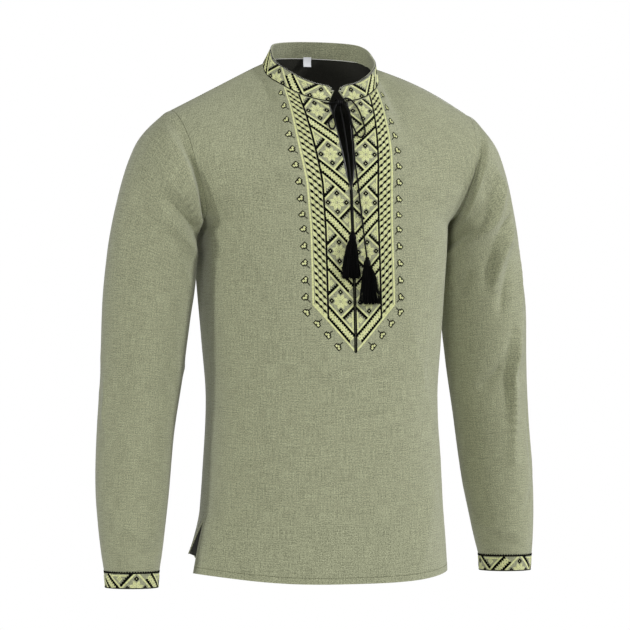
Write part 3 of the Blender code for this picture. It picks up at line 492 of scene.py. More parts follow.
# A fold of the cloth: its path as (across, z) points, its half width and its height out of the cloth.
# Across is x on a panel and degrees round a sleeve, from its outer side over the front. The first few of
# each list are the deep ones that the solids have too, and the rest are creases.
Fold = namedtuple("Fold", "across z width height")
FRONT_FOLDS = [
    Fold((0.165, 0.128, 0.118), (-0.250, -0.360, -0.500), 0.026, -0.0050),
    Fold((-0.168, -0.130, -0.112), (-0.245, -0.330, -0.450), 0.026, -0.0040),
    Fold((0.150, 0.120, 0.105), (-0.560, -0.640, -0.725), 0.026, 0.0040),
    Fold((-0.135, -0.122, -0.118), (-0.600, -0.660, -0.725), 0.026, -0.0045),
    Fold((-0.146, -0.118, -0.086), (-0.567, -0.557, -0.547), 0.005, -0.0024),
    Fold((-0.140, -0.108, -0.070), (-0.556, -0.546, -0.534), 0.006, 0.0014),
    Fold((-0.034, 0.022, 0.047), (-0.448, -0.429, -0.416), 0.006, 0.0024),
    Fold((-0.036, 0.022, 0.054), (-0.461, -0.443, -0.428), 0.005, -0.0018),
    Fold((-0.012, 0.030, 0.056), (-0.504, -0.494, -0.491), 0.005, -0.0024),
    Fold((0.008, 0.050, 0.098), (-0.516, -0.506, -0.496), 0.007, 0.0014),
    Fold((0.071, 0.105, 0.145), (-0.310, -0.416, -0.531), 0.010, 0.0022),
    Fold((-0.154, -0.137, -0.119), (-0.402, -0.399, -0.392), 0.005, -0.0018),
    Fold((-0.162, -0.150, -0.127), (-0.462, -0.471, -0.468), 0.005, 0.0018),
    Fold((0.150, 0.124, 0.112), (-0.300, -0.372, -0.470), 0.012, 0.0024),
    Fold((0.118, 0.140, 0.152), (-0.560, -0.590, -0.640), 0.009, -0.0018),
    Fold((-0.062, -0.020, 0.024), (-0.640, -0.632, -0.636), 0.008, -0.0012),
    Fold((0.060, 0.094, 0.130), (-0.690, -0.676, -0.668), 0.008, 0.0014),
    Fold((-0.170, -0.150, -0.128), (-0.225, -0.262, -0.300), 0.010, 0.0022),
    Fold((0.164, 0.140, 0.112), (-0.222, -0.246, -0.276), 0.009, -0.0020),
]
BACK_FOLDS = [
    Fold((0.160, 0.095, 0.060), (-0.240, -0.330, -0.470), 0.030, -0.0060),
    Fold((-0.160, -0.100, -0.070), (-0.240, -0.320, -0.440), 0.030, -0.0050),
    Fold((0.070, 0.085, 0.080), (-0.500, -0.610, -0.725), 0.030, 0.0050),
    Fold((-0.060, -0.085, -0.090), (-0.480, -0.600, -0.725), 0.030, -0.0045),
    Fold((-0.130, -0.060, 0.010), (-0.440, -0.456, -0.452), 0.010, 0.0026),
    Fold((-0.100, -0.040, 0.040), (-0.470, -0.482, -0.474), 0.009, -0.0024),
    Fold((0.140, 0.090, 0.030), (-0.420, -0.440, -0.446), 0.010, -0.0026),
    Fold((0.120, 0.070, 0.020), (-0.500, -0.512, -0.516), 0.009, 0.0022),
    Fold((-0.146, -0.120, -0.086), (-0.570, -0.560, -0.548), 0.007, -0.0018),
    Fold((0.040, 0.090, 0.134), (-0.640, -0.628, -0.622), 0.008, 0.0016),
    Fold((-0.120, -0.086, -0.060), (-0.170, -0.226, -0.300), 0.012, -0.0024),
    Fold((0.116, 0.088, 0.058), (-0.176, -0.236, -0.310), 0.012, -0.0022),
    Fold((0.150, 0.126, 0.100), (-0.250, -0.290, -0.340), 0.009, 0.0022),
]
FOLD_STEPS = 24
FOLD_END = 0.06
FOLD_FADE = 0.6
FOLD_CREST = 1.3
FOLDS_STOP_X = 0.184
FOLDS_FADE_OVER = 0.030


def neckline(angle):
    """Points of the left half of the neckline, at angles from 0 at the front to pi at the back: half an
    ellipse seen from above, whose height is a smooth curve of its depth."""
    y = -np.cos(angle) * np.where(np.cos(angle) > 0, NECK_FRONT, NECK_BACK)
    return np.stack([NECK_HALF_WIDTH * np.sin(angle), y, smooth_through(NECK_Y, NECK_Z, y)], axis=-1)


def neck_turns(facing):
    """The angles of a panel's columns along half of its neckline, from the slit or the centre back."""
    if facing > 0:
        return np.linspace(pi, radians(SHOULDER_TURN), round(BACK_COLUMNS * NECK_SHARE) + 1)
    start = np.arcsin(SLIT_TOP_HALF / NECK_HALF_WIDTH)
    return np.linspace(start, radians(SHOULDER_TURN), round(FRONT_COLUMNS * NECK_SHARE) + 1)


def top_edge(share, facing):
    """The top edge of half a panel: the neckline to its share, then the shoulder seam, which is a straight
    line plus a half sine wave of crown."""
    round_neck = np.clip(share / NECK_SHARE, 0, 1)
    seam_turn = radians(SHOULDER_TURN)
    neck = neckline(round_neck * seam_turn if facing < 0 else pi - round_neck * (pi - seam_turn))
    along = np.clip((share - NECK_SHARE) / (1 - NECK_SHARE), 0, 1)[:, None]
    seam = np.array(SHOULDER) - neckline(np.array([seam_turn]))
    return neck + along * seam + np.sin(pi * along) * np.array(SHOULDER_CROWN)


def section_arc(section, share):
    """The arc from a section's centre point to its edge point: an ellipse's quarter, or less, whose sine and
    cosine are raised to the section's corner."""
    turn = radians(section.arc)
    across = (np.sin(share * turn) / sin(turn)) ** section.corner
    back = (1 - np.cos(share * turn) ** section.corner) / (1 - cos(turn) ** section.corner)
    return np.stack(
        [
            section.edge_x * across,
            section.centre_y + (section.edge_y - section.centre_y) * back,
            section.centre_z + (section.edge_z - section.centre_z) * back,
        ],
        axis=-1,
    )


def half_panel(sections, columns):
    """The left half of a panel: rows from the hem up, columns from the middle out. Each column is a smooth
    curve through its points on the sections, which near the top bend towards the top edge. The edge's corner
    is rounded for all of them but the last, by averaging neighbours in the shares 1, 2 and 1."""
    share = np.linspace(0, 1, columns + 1)
    top, ends = top_edge(share, sections[0].centre_y), share[:, None]
    rounded = top.copy()
    for _ in range(TOP_ROUNDING):
        rounded[1:-1] = (rounded[:-2] + 2 * rounded[1:-1] + rounded[2:]) / 4
    keys = []
    for section in sections:
        arc = section_arc(section, share)
        edge = top if section is sections[-1] else rounded
        bent = edge + (arc[0] - edge[0]) * (1 - ends) + (arc[-1] - edge[-1]) * ends
        keys.append(arc + section.neck * (bent - arc))
    keys = np.array(keys)
    steps = np.linalg.norm(np.diff(keys[:, -1], axis=0), axis=1)
    places = np.concatenate([[0], np.cumsum(steps)])
    below = np.linspace(0, places[ARMPIT], ROWS_BELOW + 1)
    above = np.linspace(places[ARMPIT], places[-1], ROWS_ABOVE + 1)
    return smooth_through(places, keys, np.concatenate([below, above[1:]]))


def hem_rise(points, rise, flare):
    """Lifts a panel's hem towards its side and swings the side out, over the height of the vent."""
    near_hem = np.clip((VENT_TOP_Z - points[..., 2]) / (VENT_TOP_Z - FRONT[0].centre_z), 0, 1)
    outward = np.clip(np.abs(points[..., 0]) / FRONT[0].edge_x, 0, 1) ** 3
    points[..., 0] += np.sign(points[..., 0]) * flare * near_hem**0.5 * outward**3
    points[..., 2] += rise * near_hem * outward
    return points


def fold_height(across, z, folds):
    """How far the folds stand out of the cloth: each falls from a crest as e to a power of the distance from
    its path, and fades towards both ends of the path as a power of a half sine wave."""
    height = np.zeros_like(z)
    for fold in folds:
        path = smooth_through(
            np.arange(len(fold.z)), np.stack([fold.across, fold.z], axis=-1),
            np.linspace(0, len(fold.z) - 1, FOLD_STEPS),
        )
        away = np.hypot(across[..., None] - path[:, 0], z[..., None] - path[:, 1])
        nearest = np.argmin(away, axis=-1) / (FOLD_STEPS - 1)
        fade = np.sin(pi * np.clip(nearest, FOLD_END, 1 - FOLD_END)) ** FOLD_FADE
        height += fold.height * fade * np.exp(-((away.min(axis=-1) / fold.width) ** FOLD_CREST))
    return height


def grid_normals(grid, around=False):
    """The unit normals of a grid of points, from the cross product of its rows' and columns' directions."""
    if around:
        across = np.roll(grid, -1, axis=1) - np.roll(grid, 1, axis=1)
    else:
        across = np.gradient(grid, axis=1)
    return unit(np.cross(across, np.gradient(grid, axis=0)))


def run_along(grid, axis):
    """The distance along a grid's rows (axis 1) or columns (axis 0), from each one's first point."""
    steps = np.linalg.norm(np.diff(grid, axis=axis), axis=-1)
    start = np.zeros_like(steps[:1] if axis == 0 else steps[:, :1])
    return np.concatenate([start, np.cumsum(steps, axis=axis)], axis=axis)


def wall(name, outer, inner, faces, uv, finishes):
    """A closed wall between two layers of points with one set of faces: both layers, and a strip at each
    edge that no face shares. The inner layer takes the second finish. uv is one point for each corner."""
    count = len(outer)
    starts, ends = faces, np.roll(faces, -1, axis=1)
    rim = ~np.isin(starts * count + ends, ends * count + starts)
    a, b = starts[rim], ends[rim]
    strips = np.stack([b, a, a + count, b + count], axis=-1)
    uv_a, uv_b = uv[rim], np.roll(uv, -1, axis=1)[rim]
    strip_uv = np.stack([uv_b, uv_a, uv_a, uv_b], axis=1)
    all_faces = np.concatenate([faces, faces[:, ::-1] + count, strips])
    all_uv = np.concatenate([uv, uv[:, ::-1], strip_uv])
    finish_of = np.repeat([0, 1, 0], [len(faces), len(faces), len(strips)])
    return put(name, np.concatenate([outer, inner]), all_faces, finishes, all_uv, finish_of)


def grid_uv(across, down, around=False):
    """The corners' points for grid_faces, from each grid point's own metres across and down the cloth. A
    closed grid's across has one column more than its points."""
    rows, columns = across.shape
    row, column = (part.ravel() for part in np.mgrid[: rows - 1, : columns - 1])
    corners = [(row, column), (row, column + 1), (row + 1, column + 1), (row + 1, column)]
    return np.stack([np.stack([across[at], down[at]], axis=-1) for at in corners], axis=1)


def shoulder_columns(grid):
    """Which columns of a panel's grid end on the shoulder seams, its neck's sides included."""
    middle = grid.shape[1] // 2
    return np.abs(np.arange(grid.shape[1]) - middle) >= round(middle * NECK_SHARE)


def panels():
    """The front and the back as grids from the wearer's right to left, with normals that agree at seams."""
    made = {}
    for name, sections, columns, folds in (
        ("front", FRONT, FRONT_COLUMNS, FRONT_FOLDS),
        ("back", BACK, BACK_COLUMNS, BACK_FOLDS),
    ):
        half = half_panel(sections, columns)
        full = np.concatenate([(half * [-1, 1, 1])[:, :0:-1], half], axis=1)
        outward = (np.abs(full[..., 0]) - NECK_HALF_WIDTH) / (SHOULDER[0] - NECK_HALF_WIDTH)
        high = np.clip((full[..., 2] - LIFT_FROM_Z) / (SHOULDER[2] - LIFT_FROM_Z), 0, 1)
        lift = np.where(full[..., 0] > 0, SHOULDER_LIFT["left"], SHOULDER_LIFT["right"])
        outward = np.clip(outward, 0, 1)
        full[..., 2] += lift * high * np.sin(pi * outward) * outward / (outward + LIFT_EASE)
        normals = grid_normals(full) * (1 if name == "front" else -1)
        made[name] = [full, normals, folds]
    for column in (0, -1):
        shared = unit(made["front"][1][:, column] + made["back"][1][:, column])
        made["front"][1][:, column] = made["back"][1][:, column] = shared
    for name in made:
        full, normals, folds = made[name]
        ridge = shoulder_columns(full)
        seam = (np.array(SHOULDER) - neckline(np.array([radians(SHOULDER_TURN)]))) * [1, 0, 1]
        upright = unit(np.array([-seam[0, 2], 0, seam[0, 0]]))
        normals[-1, ridge] = upright * np.sign(full[-1, ridge, :1]) * [1, 0, 0] + upright * [0, 0, 1]
        from_edge = np.clip((FOLDS_STOP_X - np.abs(full[..., 0])) / FOLDS_FADE_OVER, 0, 1)
        lift = fold_height(full[..., 0], full[..., 2], folds) * from_edge
        made[name] = [full + normals * lift[..., None], normals]
    return made


def front_halves(made):
    """The front's outer points and normals as one grid whose middle column is there twice: the two are one
    below the slit's foot, and stand apart above it as a power of the height, up to the neckline's points."""
    grid, normals = made["front"][0].copy(), made["front"][1]
    middle = FRONT_COLUMNS
    grid[:-1, [0, -1], 1] -= SEAM_GAP / 2
    for side, part in (("right", slice(0, middle + 1)), ("left", slice(middle, None))):
        hem_rise(grid[:, part], HEM_RISE[side], FRONT_FLARE[side])
    up = np.clip((grid[:, middle, 2] - SLIT_FOOT_Z) / (NECK_Z[0] - SLIT_FOOT_Z), 0, 1)
    gap = SLIT_TOP_HALF * up**SLIT_CURVE
    columns = np.concatenate([np.arange(middle + 1), np.arange(middle, 2 * middle + 1)])
    sides = np.repeat([-1, 1], middle + 1)
    near = (1 - np.abs(columns - middle) / middle) ** 3
    grid, normals = grid[:, columns], normals[:, columns]
    grid[:-1, :, 0] += sides * near * gap[:-1, None]
    turns = neck_turns(-1)
    neck = neckline(turns) - neckline(np.linspace(0, turns[-1], len(turns)))
    pull = np.zeros((len(columns), 3))
    pull[middle + 1 : middle + 1 + len(neck)] = neck
    pull[middle + 1 - len(neck) : middle + 1] = neck[::-1] * [-1, 1, 1]
    high = np.clip(1 - np.arange(len(grid))[::-1] / NECK_ROWS, 0, 1)[:, None, None]
    slide = (sides * near)[:, None] * gap[:, None, None] * np.array([1.0, 0, 0])
    grid[:-1] += high[:-1] * (pull - slide[:-1])
    grid[-1] += pull
    grid[-1, np.abs(columns - middle) >= round(middle * NECK_SHARE), 1] -= SEAM_GAP / 2
    return grid, normals


# Slubby linen in a greyish olive: the warp and weft threads swell and thin, so paler and darker streaks
# run both ways, and the matt fibres only gain a little sheen at a glancing angle.
LINEN_PALE, LINEN_DARK = "#afb291", "#666950"
MOTTLE_SCALE, MOTTLE_SHARE = 22.0, 0.1
# The noises of the threads: how fast each changes along the cloth's two ways, and its share of the shade.
# The first two are the slubs each way, and the third is the grain of the spun thread.
THREAD_NOISES = (((36.0, 640.0, 1.0), 0.3), ((640.0, 36.0, 1.0), 0.3), ((480.0, 700.0, 1.0), 0.9))
NOISE_RANGE = (0.32, 0.68)
WEAVE_SCALE, WEAVE_BEND, WEAVE_SHARE = 120.0, 2.5, 0.06
SHADE_RANGE = (0.3, 1.45)


def linen(name, pale, dark, sheen):
    """Linen whose shade adds up a slow mottle, the threads' noises and the weave along its own u and v."""
    made, tree, base = surface(name, pale, 0.85, Sheen_Weight=sheen, Sheen_Roughness=0.5)
    cloth_uv = add(tree, "UVMap", uv_map="cloth").outputs[0]
    shade = add(tree, "TexNoise", {"Vector": cloth_uv, "Scale": MOTTLE_SCALE, "Detail": 2.0}).outputs[0]
    shade = add(tree, "Math", {0: shade, 1: MOTTLE_SHARE}, operation="MULTIPLY").outputs[0]
    for scale, share in THREAD_NOISES:
        spot = add(tree, "Mapping", {"Vector": cloth_uv, "Scale": scale})
        streak = add(tree, "TexNoise", {"Vector": spot.outputs[0], "Scale": 1.0, "Detail": 3.0}).outputs[0]
        streak = add(tree, "MapRange", {0: streak, 1: NOISE_RANGE[0], 2: NOISE_RANGE[1]}).outputs[0]
        shade = add(tree, "Math", {0: streak, 1: share, 2: shade}, operation="MULTIPLY_ADD").outputs[0]
    # Threads 0.6 mm apart would not show, so the weave is drawn 2.6 mm apart.
    for way in ("X", "Y"):
        inputs = {"Vector": cloth_uv, "Scale": WEAVE_SCALE, "Distortion": WEAVE_BEND}
        wave = add(tree, "TexWave", inputs, bands_direction=way).outputs["Fac"]
        inputs = {0: wave, 1: WEAVE_SHARE, 2: shade}
        shade = add(tree, "Math", inputs, operation="MULTIPLY_ADD").outputs[0]
    amount = add(tree, "MapRange", {0: shade, 1: SHADE_RANGE[0], 2: SHADE_RANGE[1]}).outputs[0]
    tint = add(tree, "Mix", {0: amount, 6: linear(dark), 7: linear(pale)}, data_type="RGBA")
    tree.links.new(tint.outputs[2], base.inputs["Base Color"])
    bump = add(tree, "Bump", {"Height": shade, "Strength": 0.4, "Distance": 0.0006})
    tree.links.new(bump.outputs[0], base.inputs["Normal"])
    return made


linen_out = linen("olive slub linen", LINEN_PALE, LINEN_DARK, 0.3)
# The inside of the shirt is the same linen painted near-black: painted shade for the dim inside that shows
# through the neck, the slit and the vents.
linen_inside_painted_shade = linen("olive slub linen, inner side", "#2b2b22", "#1d1d16", 0.0)

cut = panels()
front_grid, front_normals = front_halves(cut)
rows, columns = front_grid.shape[:2]
centre = FRONT_COLUMNS
shut = np.linalg.norm(front_grid[:, centre] - front_grid[:, centre + 1], axis=-1) < 1e-6
numbers = np.arange(rows * columns).reshape(rows, columns)
numbers[shut, centre + 1] = numbers[shut, centre]
row, column = (part.ravel() for part in np.mgrid[: rows - 1, : columns - 1])
kept = column != centre
row, column = row[kept], column[kept]
corners = [(row, column), (row, column + 1), (row + 1, column + 1), (row + 1, column)]
front_faces = np.stack([numbers[at] for at in corners], axis=-1)
across = run_along(front_grid, 1)
across = across - across[:, centre : centre + 1]
down = run_along(front_grid, 0)
front_uv = grid_uv(across, down)[kept]
used, front_faces = np.unique(front_faces, return_inverse=True)
front_faces = front_faces.reshape(-1, 4)
outer = front_grid.reshape(-1, 3)[used]
inner = outer - front_normals.reshape(-1, 3)[used] * CLOTH
front = wall("front_linen", outer, inner, front_faces, front_uv, [linen_out, linen_inside_painted_shade])
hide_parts("front")

back_grid, back_normals = cut["back"][0].copy(), cut["back"][1]
back_grid[:-1, [0, -1], 1] += SEAM_GAP / 2
back_grid[-1, shoulder_columns(back_grid), 1] += SEAM_GAP / 2
hem_rise(back_grid, BACK_HEM_RISE, 0)
open_share = np.clip((VENT_TOP_Z - back_grid[..., 2]) / (VENT_TOP_Z - FRONT[0].centre_z), 0, 1)
near_side = np.clip(1 - back_grid[..., 1] / VENT_FLARE_DEPTH, 0, 1)
flare = np.where(back_grid[..., 0] > 0, BACK_FLARE["left"], BACK_FLARE["right"])
back_grid += back_normals * (flare * open_share * near_side)[..., None]
back_grid[..., 1] += VENT_STEP_BACK * open_share * near_side
across = run_along(back_grid, 1)
across = across - across[:, BACK_COLUMNS : BACK_COLUMNS + 1]
outer = back_grid.reshape(-1, 3)
back = wall(
    "back_linen", outer, outer - back_normals.reshape(-1, 3) * CLOTH, grid_faces(*back_grid.shape[:2]),
    grid_uv(across, run_along(back_grid, 0)), [linen_out, linen_inside_painted_shade],
)
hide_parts("back")

# The sleeves: one piece of linen each, cut with a low cap, set into the armholes and closed by a seam under
# the arm. They hang over the wearer's arms and are gathered a little by their own slack at the elbow.
SLEEVE_ROWS = 230
# A ring of the left sleeve: its middle, its half sizes out from the body and to the front, and the tilt of
# its plane, from 90 degrees at a flat armhole to 0 across a hanging arm.
Ring = namedtuple("Ring", "name x y z half_width half_depth tilt")
SLEEVE = [
    Ring("head", 0.2215, 0.001, -0.1633, 0.0818, 0.0743, 69),
    Ring("cap", 0.2315, 0.003, -0.1815, 0.0788, 0.0713, 59),
    Ring("upper", 0.2415, 0.006, -0.2238, 0.0710, 0.0678, 42),
    Ring("biceps", 0.2503, 0.009, -0.2830, 0.0651, 0.0648, 19),
    Ring("arm", 0.2585, 0.012, -0.3500, 0.0623, 0.0623, 7),
    Ring("elbow_top", 0.2645, 0.016, -0.4300, 0.0581, 0.0583, 5),
    Ring("elbow", 0.2730, 0.017, -0.5100, 0.0543, 0.0548, 4),
    Ring("forearm", 0.2804, 0.011, -0.6000, 0.0511, 0.0513, 3),
    Ring("lower", 0.2828, 0.006, -0.6400, 0.0473, 0.0475, 1),
    Ring("wrist", 0.2846, 0.001, -0.6800, 0.0425, 0.0430, 0),
    Ring("cuff_seam", 0.2856, -0.002, -0.7030, 0.0388, 0.0393, 0),
]
ARM_DIRECTION = np.array([0.93, 0, -0.35])
SEAM_TURN = 0.009
ARM_DROP = {"left": 0.006, "right": -0.005}
ARM_IN = {"left": 0.004, "right": -0.002}
IN_FROM_Z = -0.380
IN_OVER = 0.100
DROP_FROM_Z = -0.250
DROP_OVER = 0.450
RING_CROWDING = 1.25
SLEEVE_FOLD_RADIUS = 0.058
SEAM_FADE_OVER = 0.028
SLEEVE_FOLDS = {
    "left": [
        Fold((62, 92, 152), (-0.160, -0.226, -0.268), 0.013, 0.0055),
        Fold((78, 105, 160), (-0.150, -0.200, -0.238), 0.012, -0.0060),
        Fold((55, 76, 98), (-0.222, -0.270, -0.315), 0.013, 0.0035),
        Fold((46, 66, 82), (-0.360, -0.450, -0.575), 0.014, 0.0035),
        Fold((90, 104, 128), (-0.425, -0.445, -0.462), 0.013, -0.0030),
        Fold((290, 262, 205), (-0.170, -0.225, -0.262), 0.015, 0.0050),
        Fold((280, 250, 200), (-0.205, -0.255, -0.292), 0.014, -0.0040),
        Fold((330, 300, 270), (-0.420, -0.470, -0.500), 0.016, -0.0035),
        Fold((62, 59, 71, 88, 114, 156), (-0.150, -0.167, -0.189, -0.221, -0.242, -0.265), 0.0085, 0.0112),
        Fold((76, 85, 109, 137, 156), (-0.171, -0.193, -0.231, -0.243, -0.252), 0.0085, -0.0095),
        Fold((92, 104, 126, 150), (-0.178, -0.197, -0.214, -0.218), 0.007, 0.0060),
        Fold((45, 57, 71), (-0.184, -0.204, -0.217), 0.007, 0.0064),
        Fold((44, 68, 84), (-0.199, -0.224, -0.240), 0.007, -0.0076),
        Fold((50, 73, 88, 97), (-0.229, -0.253, -0.285, -0.316), 0.0075, 0.0120),
        Fold((71, 85, 90), (-0.279, -0.328, -0.351), 0.007, -0.0060),
        Fold((85, 97, 104), (-0.245, -0.278, -0.310), 0.008, -0.0080),
        Fold((121, 137, 152), (-0.287, -0.309, -0.317), 0.009, -0.0070),
        Fold((59, 66, 76, 78, 85), (-0.376, -0.412, -0.442, -0.484, -0.562), 0.007, 0.0105),
        Fold((73, 81, 88, 90), (-0.381, -0.417, -0.455, -0.506), 0.007, -0.0064),
        Fold((92, 99, 121, 135), (-0.422, -0.435, -0.453, -0.462), 0.007, -0.0064),
        Fold((152, 121, 66), (-0.655, -0.662, -0.676), 0.005, 0.0034),
        Fold((163, 123, 81), (-0.671, -0.679, -0.686), 0.005, -0.0030),
        Fold((20, 48, 70), (-0.585, -0.610, -0.640), 0.008, -0.0018),
        Fold((33, 37, 44), (-0.445, -0.510, -0.580), 0.008, -0.0036),
        Fold((26, 30, 40), (-0.262, -0.300, -0.345), 0.008, -0.0050),
        Fold((34, 44, 52), (-0.262, -0.305, -0.350), 0.008, 0.0040),
        Fold((300, 262, 214), (-0.350, -0.372, -0.386), 0.008, 0.0024),
        Fold((338, 304, 276), (-0.448, -0.478, -0.520), 0.007, 0.0022),
        Fold((286, 250, 214), (-0.560, -0.592, -0.612), 0.008, -0.0022),
        Fold((322, 282, 240), (-0.648, -0.660, -0.668), 0.006, 0.0020),
    ],
    "right": [
        Fold((51, 90, 150), (-0.125, -0.178, -0.236), 0.013, 0.0055),
        Fold((72, 108, 150), (-0.160, -0.208, -0.252), 0.012, -0.0055),
        Fold((80, 112, 146), (-0.214, -0.244, -0.270), 0.012, 0.0045),
        Fold((60, 92, 130), (-0.455, -0.470, -0.500), 0.015, -0.0030),
        Fold((20, 55, 90), (-0.610, -0.640, -0.672), 0.015, 0.0030),
        Fold((292, 258, 208), (-0.165, -0.215, -0.258), 0.015, 0.0050),
        Fold((284, 246, 200), (-0.200, -0.248, -0.286), 0.014, -0.0040),
        Fold((320, 290, 262), (-0.440, -0.480, -0.520), 0.016, -0.0035),
        Fold((28, 59, 81, 130, 180), (-0.128, -0.154, -0.180, -0.219, -0.235), 0.008, 0.0084),
        Fold((76, 104, 152), (-0.190, -0.216, -0.244), 0.007, -0.0070),
        Fold((66, 88, 111, 133), (-0.198, -0.228, -0.251, -0.266), 0.007, 0.0070),
        Fold((96, 124, 148), (-0.262, -0.300, -0.330), 0.008, 0.0020),
        Fold((30, 44, 60), (-0.200, -0.270, -0.330), 0.009, -0.0020),
        Fold((85, 107, 137), (-0.401, -0.432, -0.459), 0.006, -0.0026),
        Fold((350, 10, 30), (-0.412, -0.448, -0.500), 0.008, 0.0024),
        Fold((17, 12, 26), (-0.456, -0.490, -0.526), 0.007, 0.0028),
        Fold((45, 71, 95), (-0.527, -0.542, -0.556), 0.006, 0.0022),
        Fold((66, 92, 123), (-0.605, -0.620, -0.629), 0.006, -0.0024),
        Fold((38, 64, 104), (-0.637, -0.651, -0.666), 0.006, 0.0024),
        Fold((88, 109, 133), (-0.688, -0.682, -0.674), 0.006, -0.0036),
        Fold((300, 262, 214), (-0.340, -0.366, -0.380), 0.008, 0.0024),
        Fold((334, 300, 270), (-0.462, -0.490, -0.530), 0.007, 0.0022),
        Fold((290, 250, 212), (-0.570, -0.600, -0.620), 0.008, -0.0022),
        Fold((318, 280, 236), (-0.650, -0.661, -0.668), 0.006, 0.0020),
    ],
}


def armhole(side):
    """The armhole's loop from the shoulder down the front and up the back: its points and their normals."""
    column = -1 if side == "left" else 0
    loops = []
    for layer in (0, 1):
        front_edge = cut["front"][layer][ROWS_BELOW:, column][::-1]
        back_edge = cut["back"][layer][ROWS_BELOW:, column]
        loops.append(np.concatenate([front_edge, back_edge[1:-1]]))
    return loops


def ring_points(ring, turn):
    """An ellipse round a ring's middle, in a plane tilted about the front-to-back axis."""
    tilt = radians(ring.tilt)
    out = np.array([cos(tilt), 0, sin(tilt)]) * ring.half_width
    forward = np.array([0, -1, 0]) * ring.half_depth
    middle = np.array([ring.x, ring.y, ring.z])
    return middle + np.cos(turn)[:, None] * out + np.sin(turn)[:, None] * forward


def sleeve_grid(side):
    """A sleeve's outer points and normals, by rings from the armhole to the cuff's seam: each column is a
    smooth curve from the armhole's own point through the same point of every ring."""
    loop, loop_normals = armhole(side)
    mirror = np.array([1 if side == "left" else -1, 1, 1])
    loop, loop_normals = loop * mirror, loop_normals * mirror
    along = np.roll(loop, -1, axis=0) - np.roll(loop, 1, axis=0)
    outward = unit(np.cross(along, loop_normals))
    outward *= np.sign((outward * [1, 0, 0.4]).sum(axis=1).mean())
    start = loop + outward * SEAM_GAP
    turn = np.linspace(0, 2 * pi, len(loop), endpoint=False)
    rings = []
    for ring in SLEEVE:
        raised = ARM_DROP[side] * np.clip((DROP_FROM_Z - ring.z) / DROP_OVER, 0, 1)
        moved_in = ARM_IN[side] * np.clip((ring.z - IN_FROM_Z) / IN_OVER, 0, 1)
        rings.append(ring._replace(x=ring.x - moved_in, z=ring.z + raised))
    turned_out = start + (outward + ARM_DIRECTION) / 2 * SEAM_TURN
    keys = np.array([start, turned_out] + [ring_points(ring, turn) for ring in rings])
    steps = np.linalg.norm(np.diff(keys.mean(axis=1), axis=0), axis=1)
    places = np.concatenate([[0], np.cumsum(steps)])
    at = places[-1] * np.linspace(0, 1, SLEEVE_ROWS + 1) ** RING_CROWDING
    grid = smooth_through(places, keys, at)
    normals = grid_normals(grid, around=True)
    folds = [
        fold._replace(across=tuple(radians(each) * SLEEVE_FOLD_RADIUS for each in fold.across))
        for fold in SLEEVE_FOLDS[side]
    ]
    round_it = np.broadcast_to(turn * SLEEVE_FOLD_RADIUS, grid.shape[:2])
    from_ends = np.clip(np.minimum(at, places[-1] - at) / SEAM_FADE_OVER, 0, 1)[:, None]
    lift = fold_height(round_it, grid[..., 2], folds) * from_ends
    grid = grid + normals * lift[..., None]
    normals = grid_normals(grid, around=True)
    past_seam = np.clip((normals[1] * outward).sum(axis=1), 0, None)[:, None]
    normals[0] = unit(loop_normals + normals[1] - past_seam * outward)
    normals[-1] = unit(normals[-1] * [1, 1, 0])
    return grid * mirror, normals * mirror


def tube_uv(grid):
    """Metres round and down a closed grid: round is a share of its widest girth, so threads run straight."""
    girth = run_along(np.concatenate([grid, grid[:, :1]], axis=1), 1)
    share = np.linspace(0, 1, girth.shape[1])
    down = run_along(grid, 0).mean(axis=1, keepdims=True)
    around = share * girth[:, -1].max()
    return grid_uv(np.broadcast_to(around, girth.shape), np.broadcast_to(down, girth.shape))


sleeves = {side: sleeve_grid(side) for side in ("left", "right")}
for side, (grid, normals) in sleeves.items():
    outer = grid.reshape(-1, 3)
    made = wall(
        f"sleeve_{side}_linen", outer, outer - normals.reshape(-1, 3) * CLOTH,
        grid_faces(*grid.shape[:2], True), tube_uv(grid), [linen_out, linen_inside_painted_shade],
    )
    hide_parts(f"sleeve_{side}")

# The cuffs: straight bands of doubled linen under the sleeves, embroidered all over.
CUFF_TOP_GAP = 0.0003
CUFF_HEIGHT = 0.0245
CUFF_TAPER = 0.0016
CUFF_ROWS = 10
cuffs = {}
for side, (grid, normals) in sleeves.items():
    depth = np.linspace(0, 1, CUFF_ROWS + 1)[:, None, None]
    outer = grid[-1] - [0, 0, CUFF_TOP_GAP] - depth * [0, 0, CUFF_HEIGHT] - depth * normals[-1] * CUFF_TAPER
    cuffs[side] = outer, np.broadcast_to(normals[-1], outer.shape)
    made = wall(
        f"cuff_{side}_linen", outer.reshape(-1, 3), (outer - normals[-1] * DOUBLE_CLOTH).reshape(-1, 3),
        grid_faces(*outer.shape[:2], True), tube_uv(outer), [linen_out, linen_inside_painted_shade],
    )
    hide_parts(f"cuff_{side}")

# The collar: a stand band of doubled linen whose front corners are round and lean together.
COLLAR_HEIGHT = 0.0258
COLLAR_LEAN = {"left": (20.0, 9.0, 24.0), "right": (20.0, 27.0, 24.0)}
COLLAR_CORNER = 0.009
COLLAR_TOP_GAP = 0.0042
COLLAR_CLOSING_TURN = 40.0
COLLAR_ROWS = 12


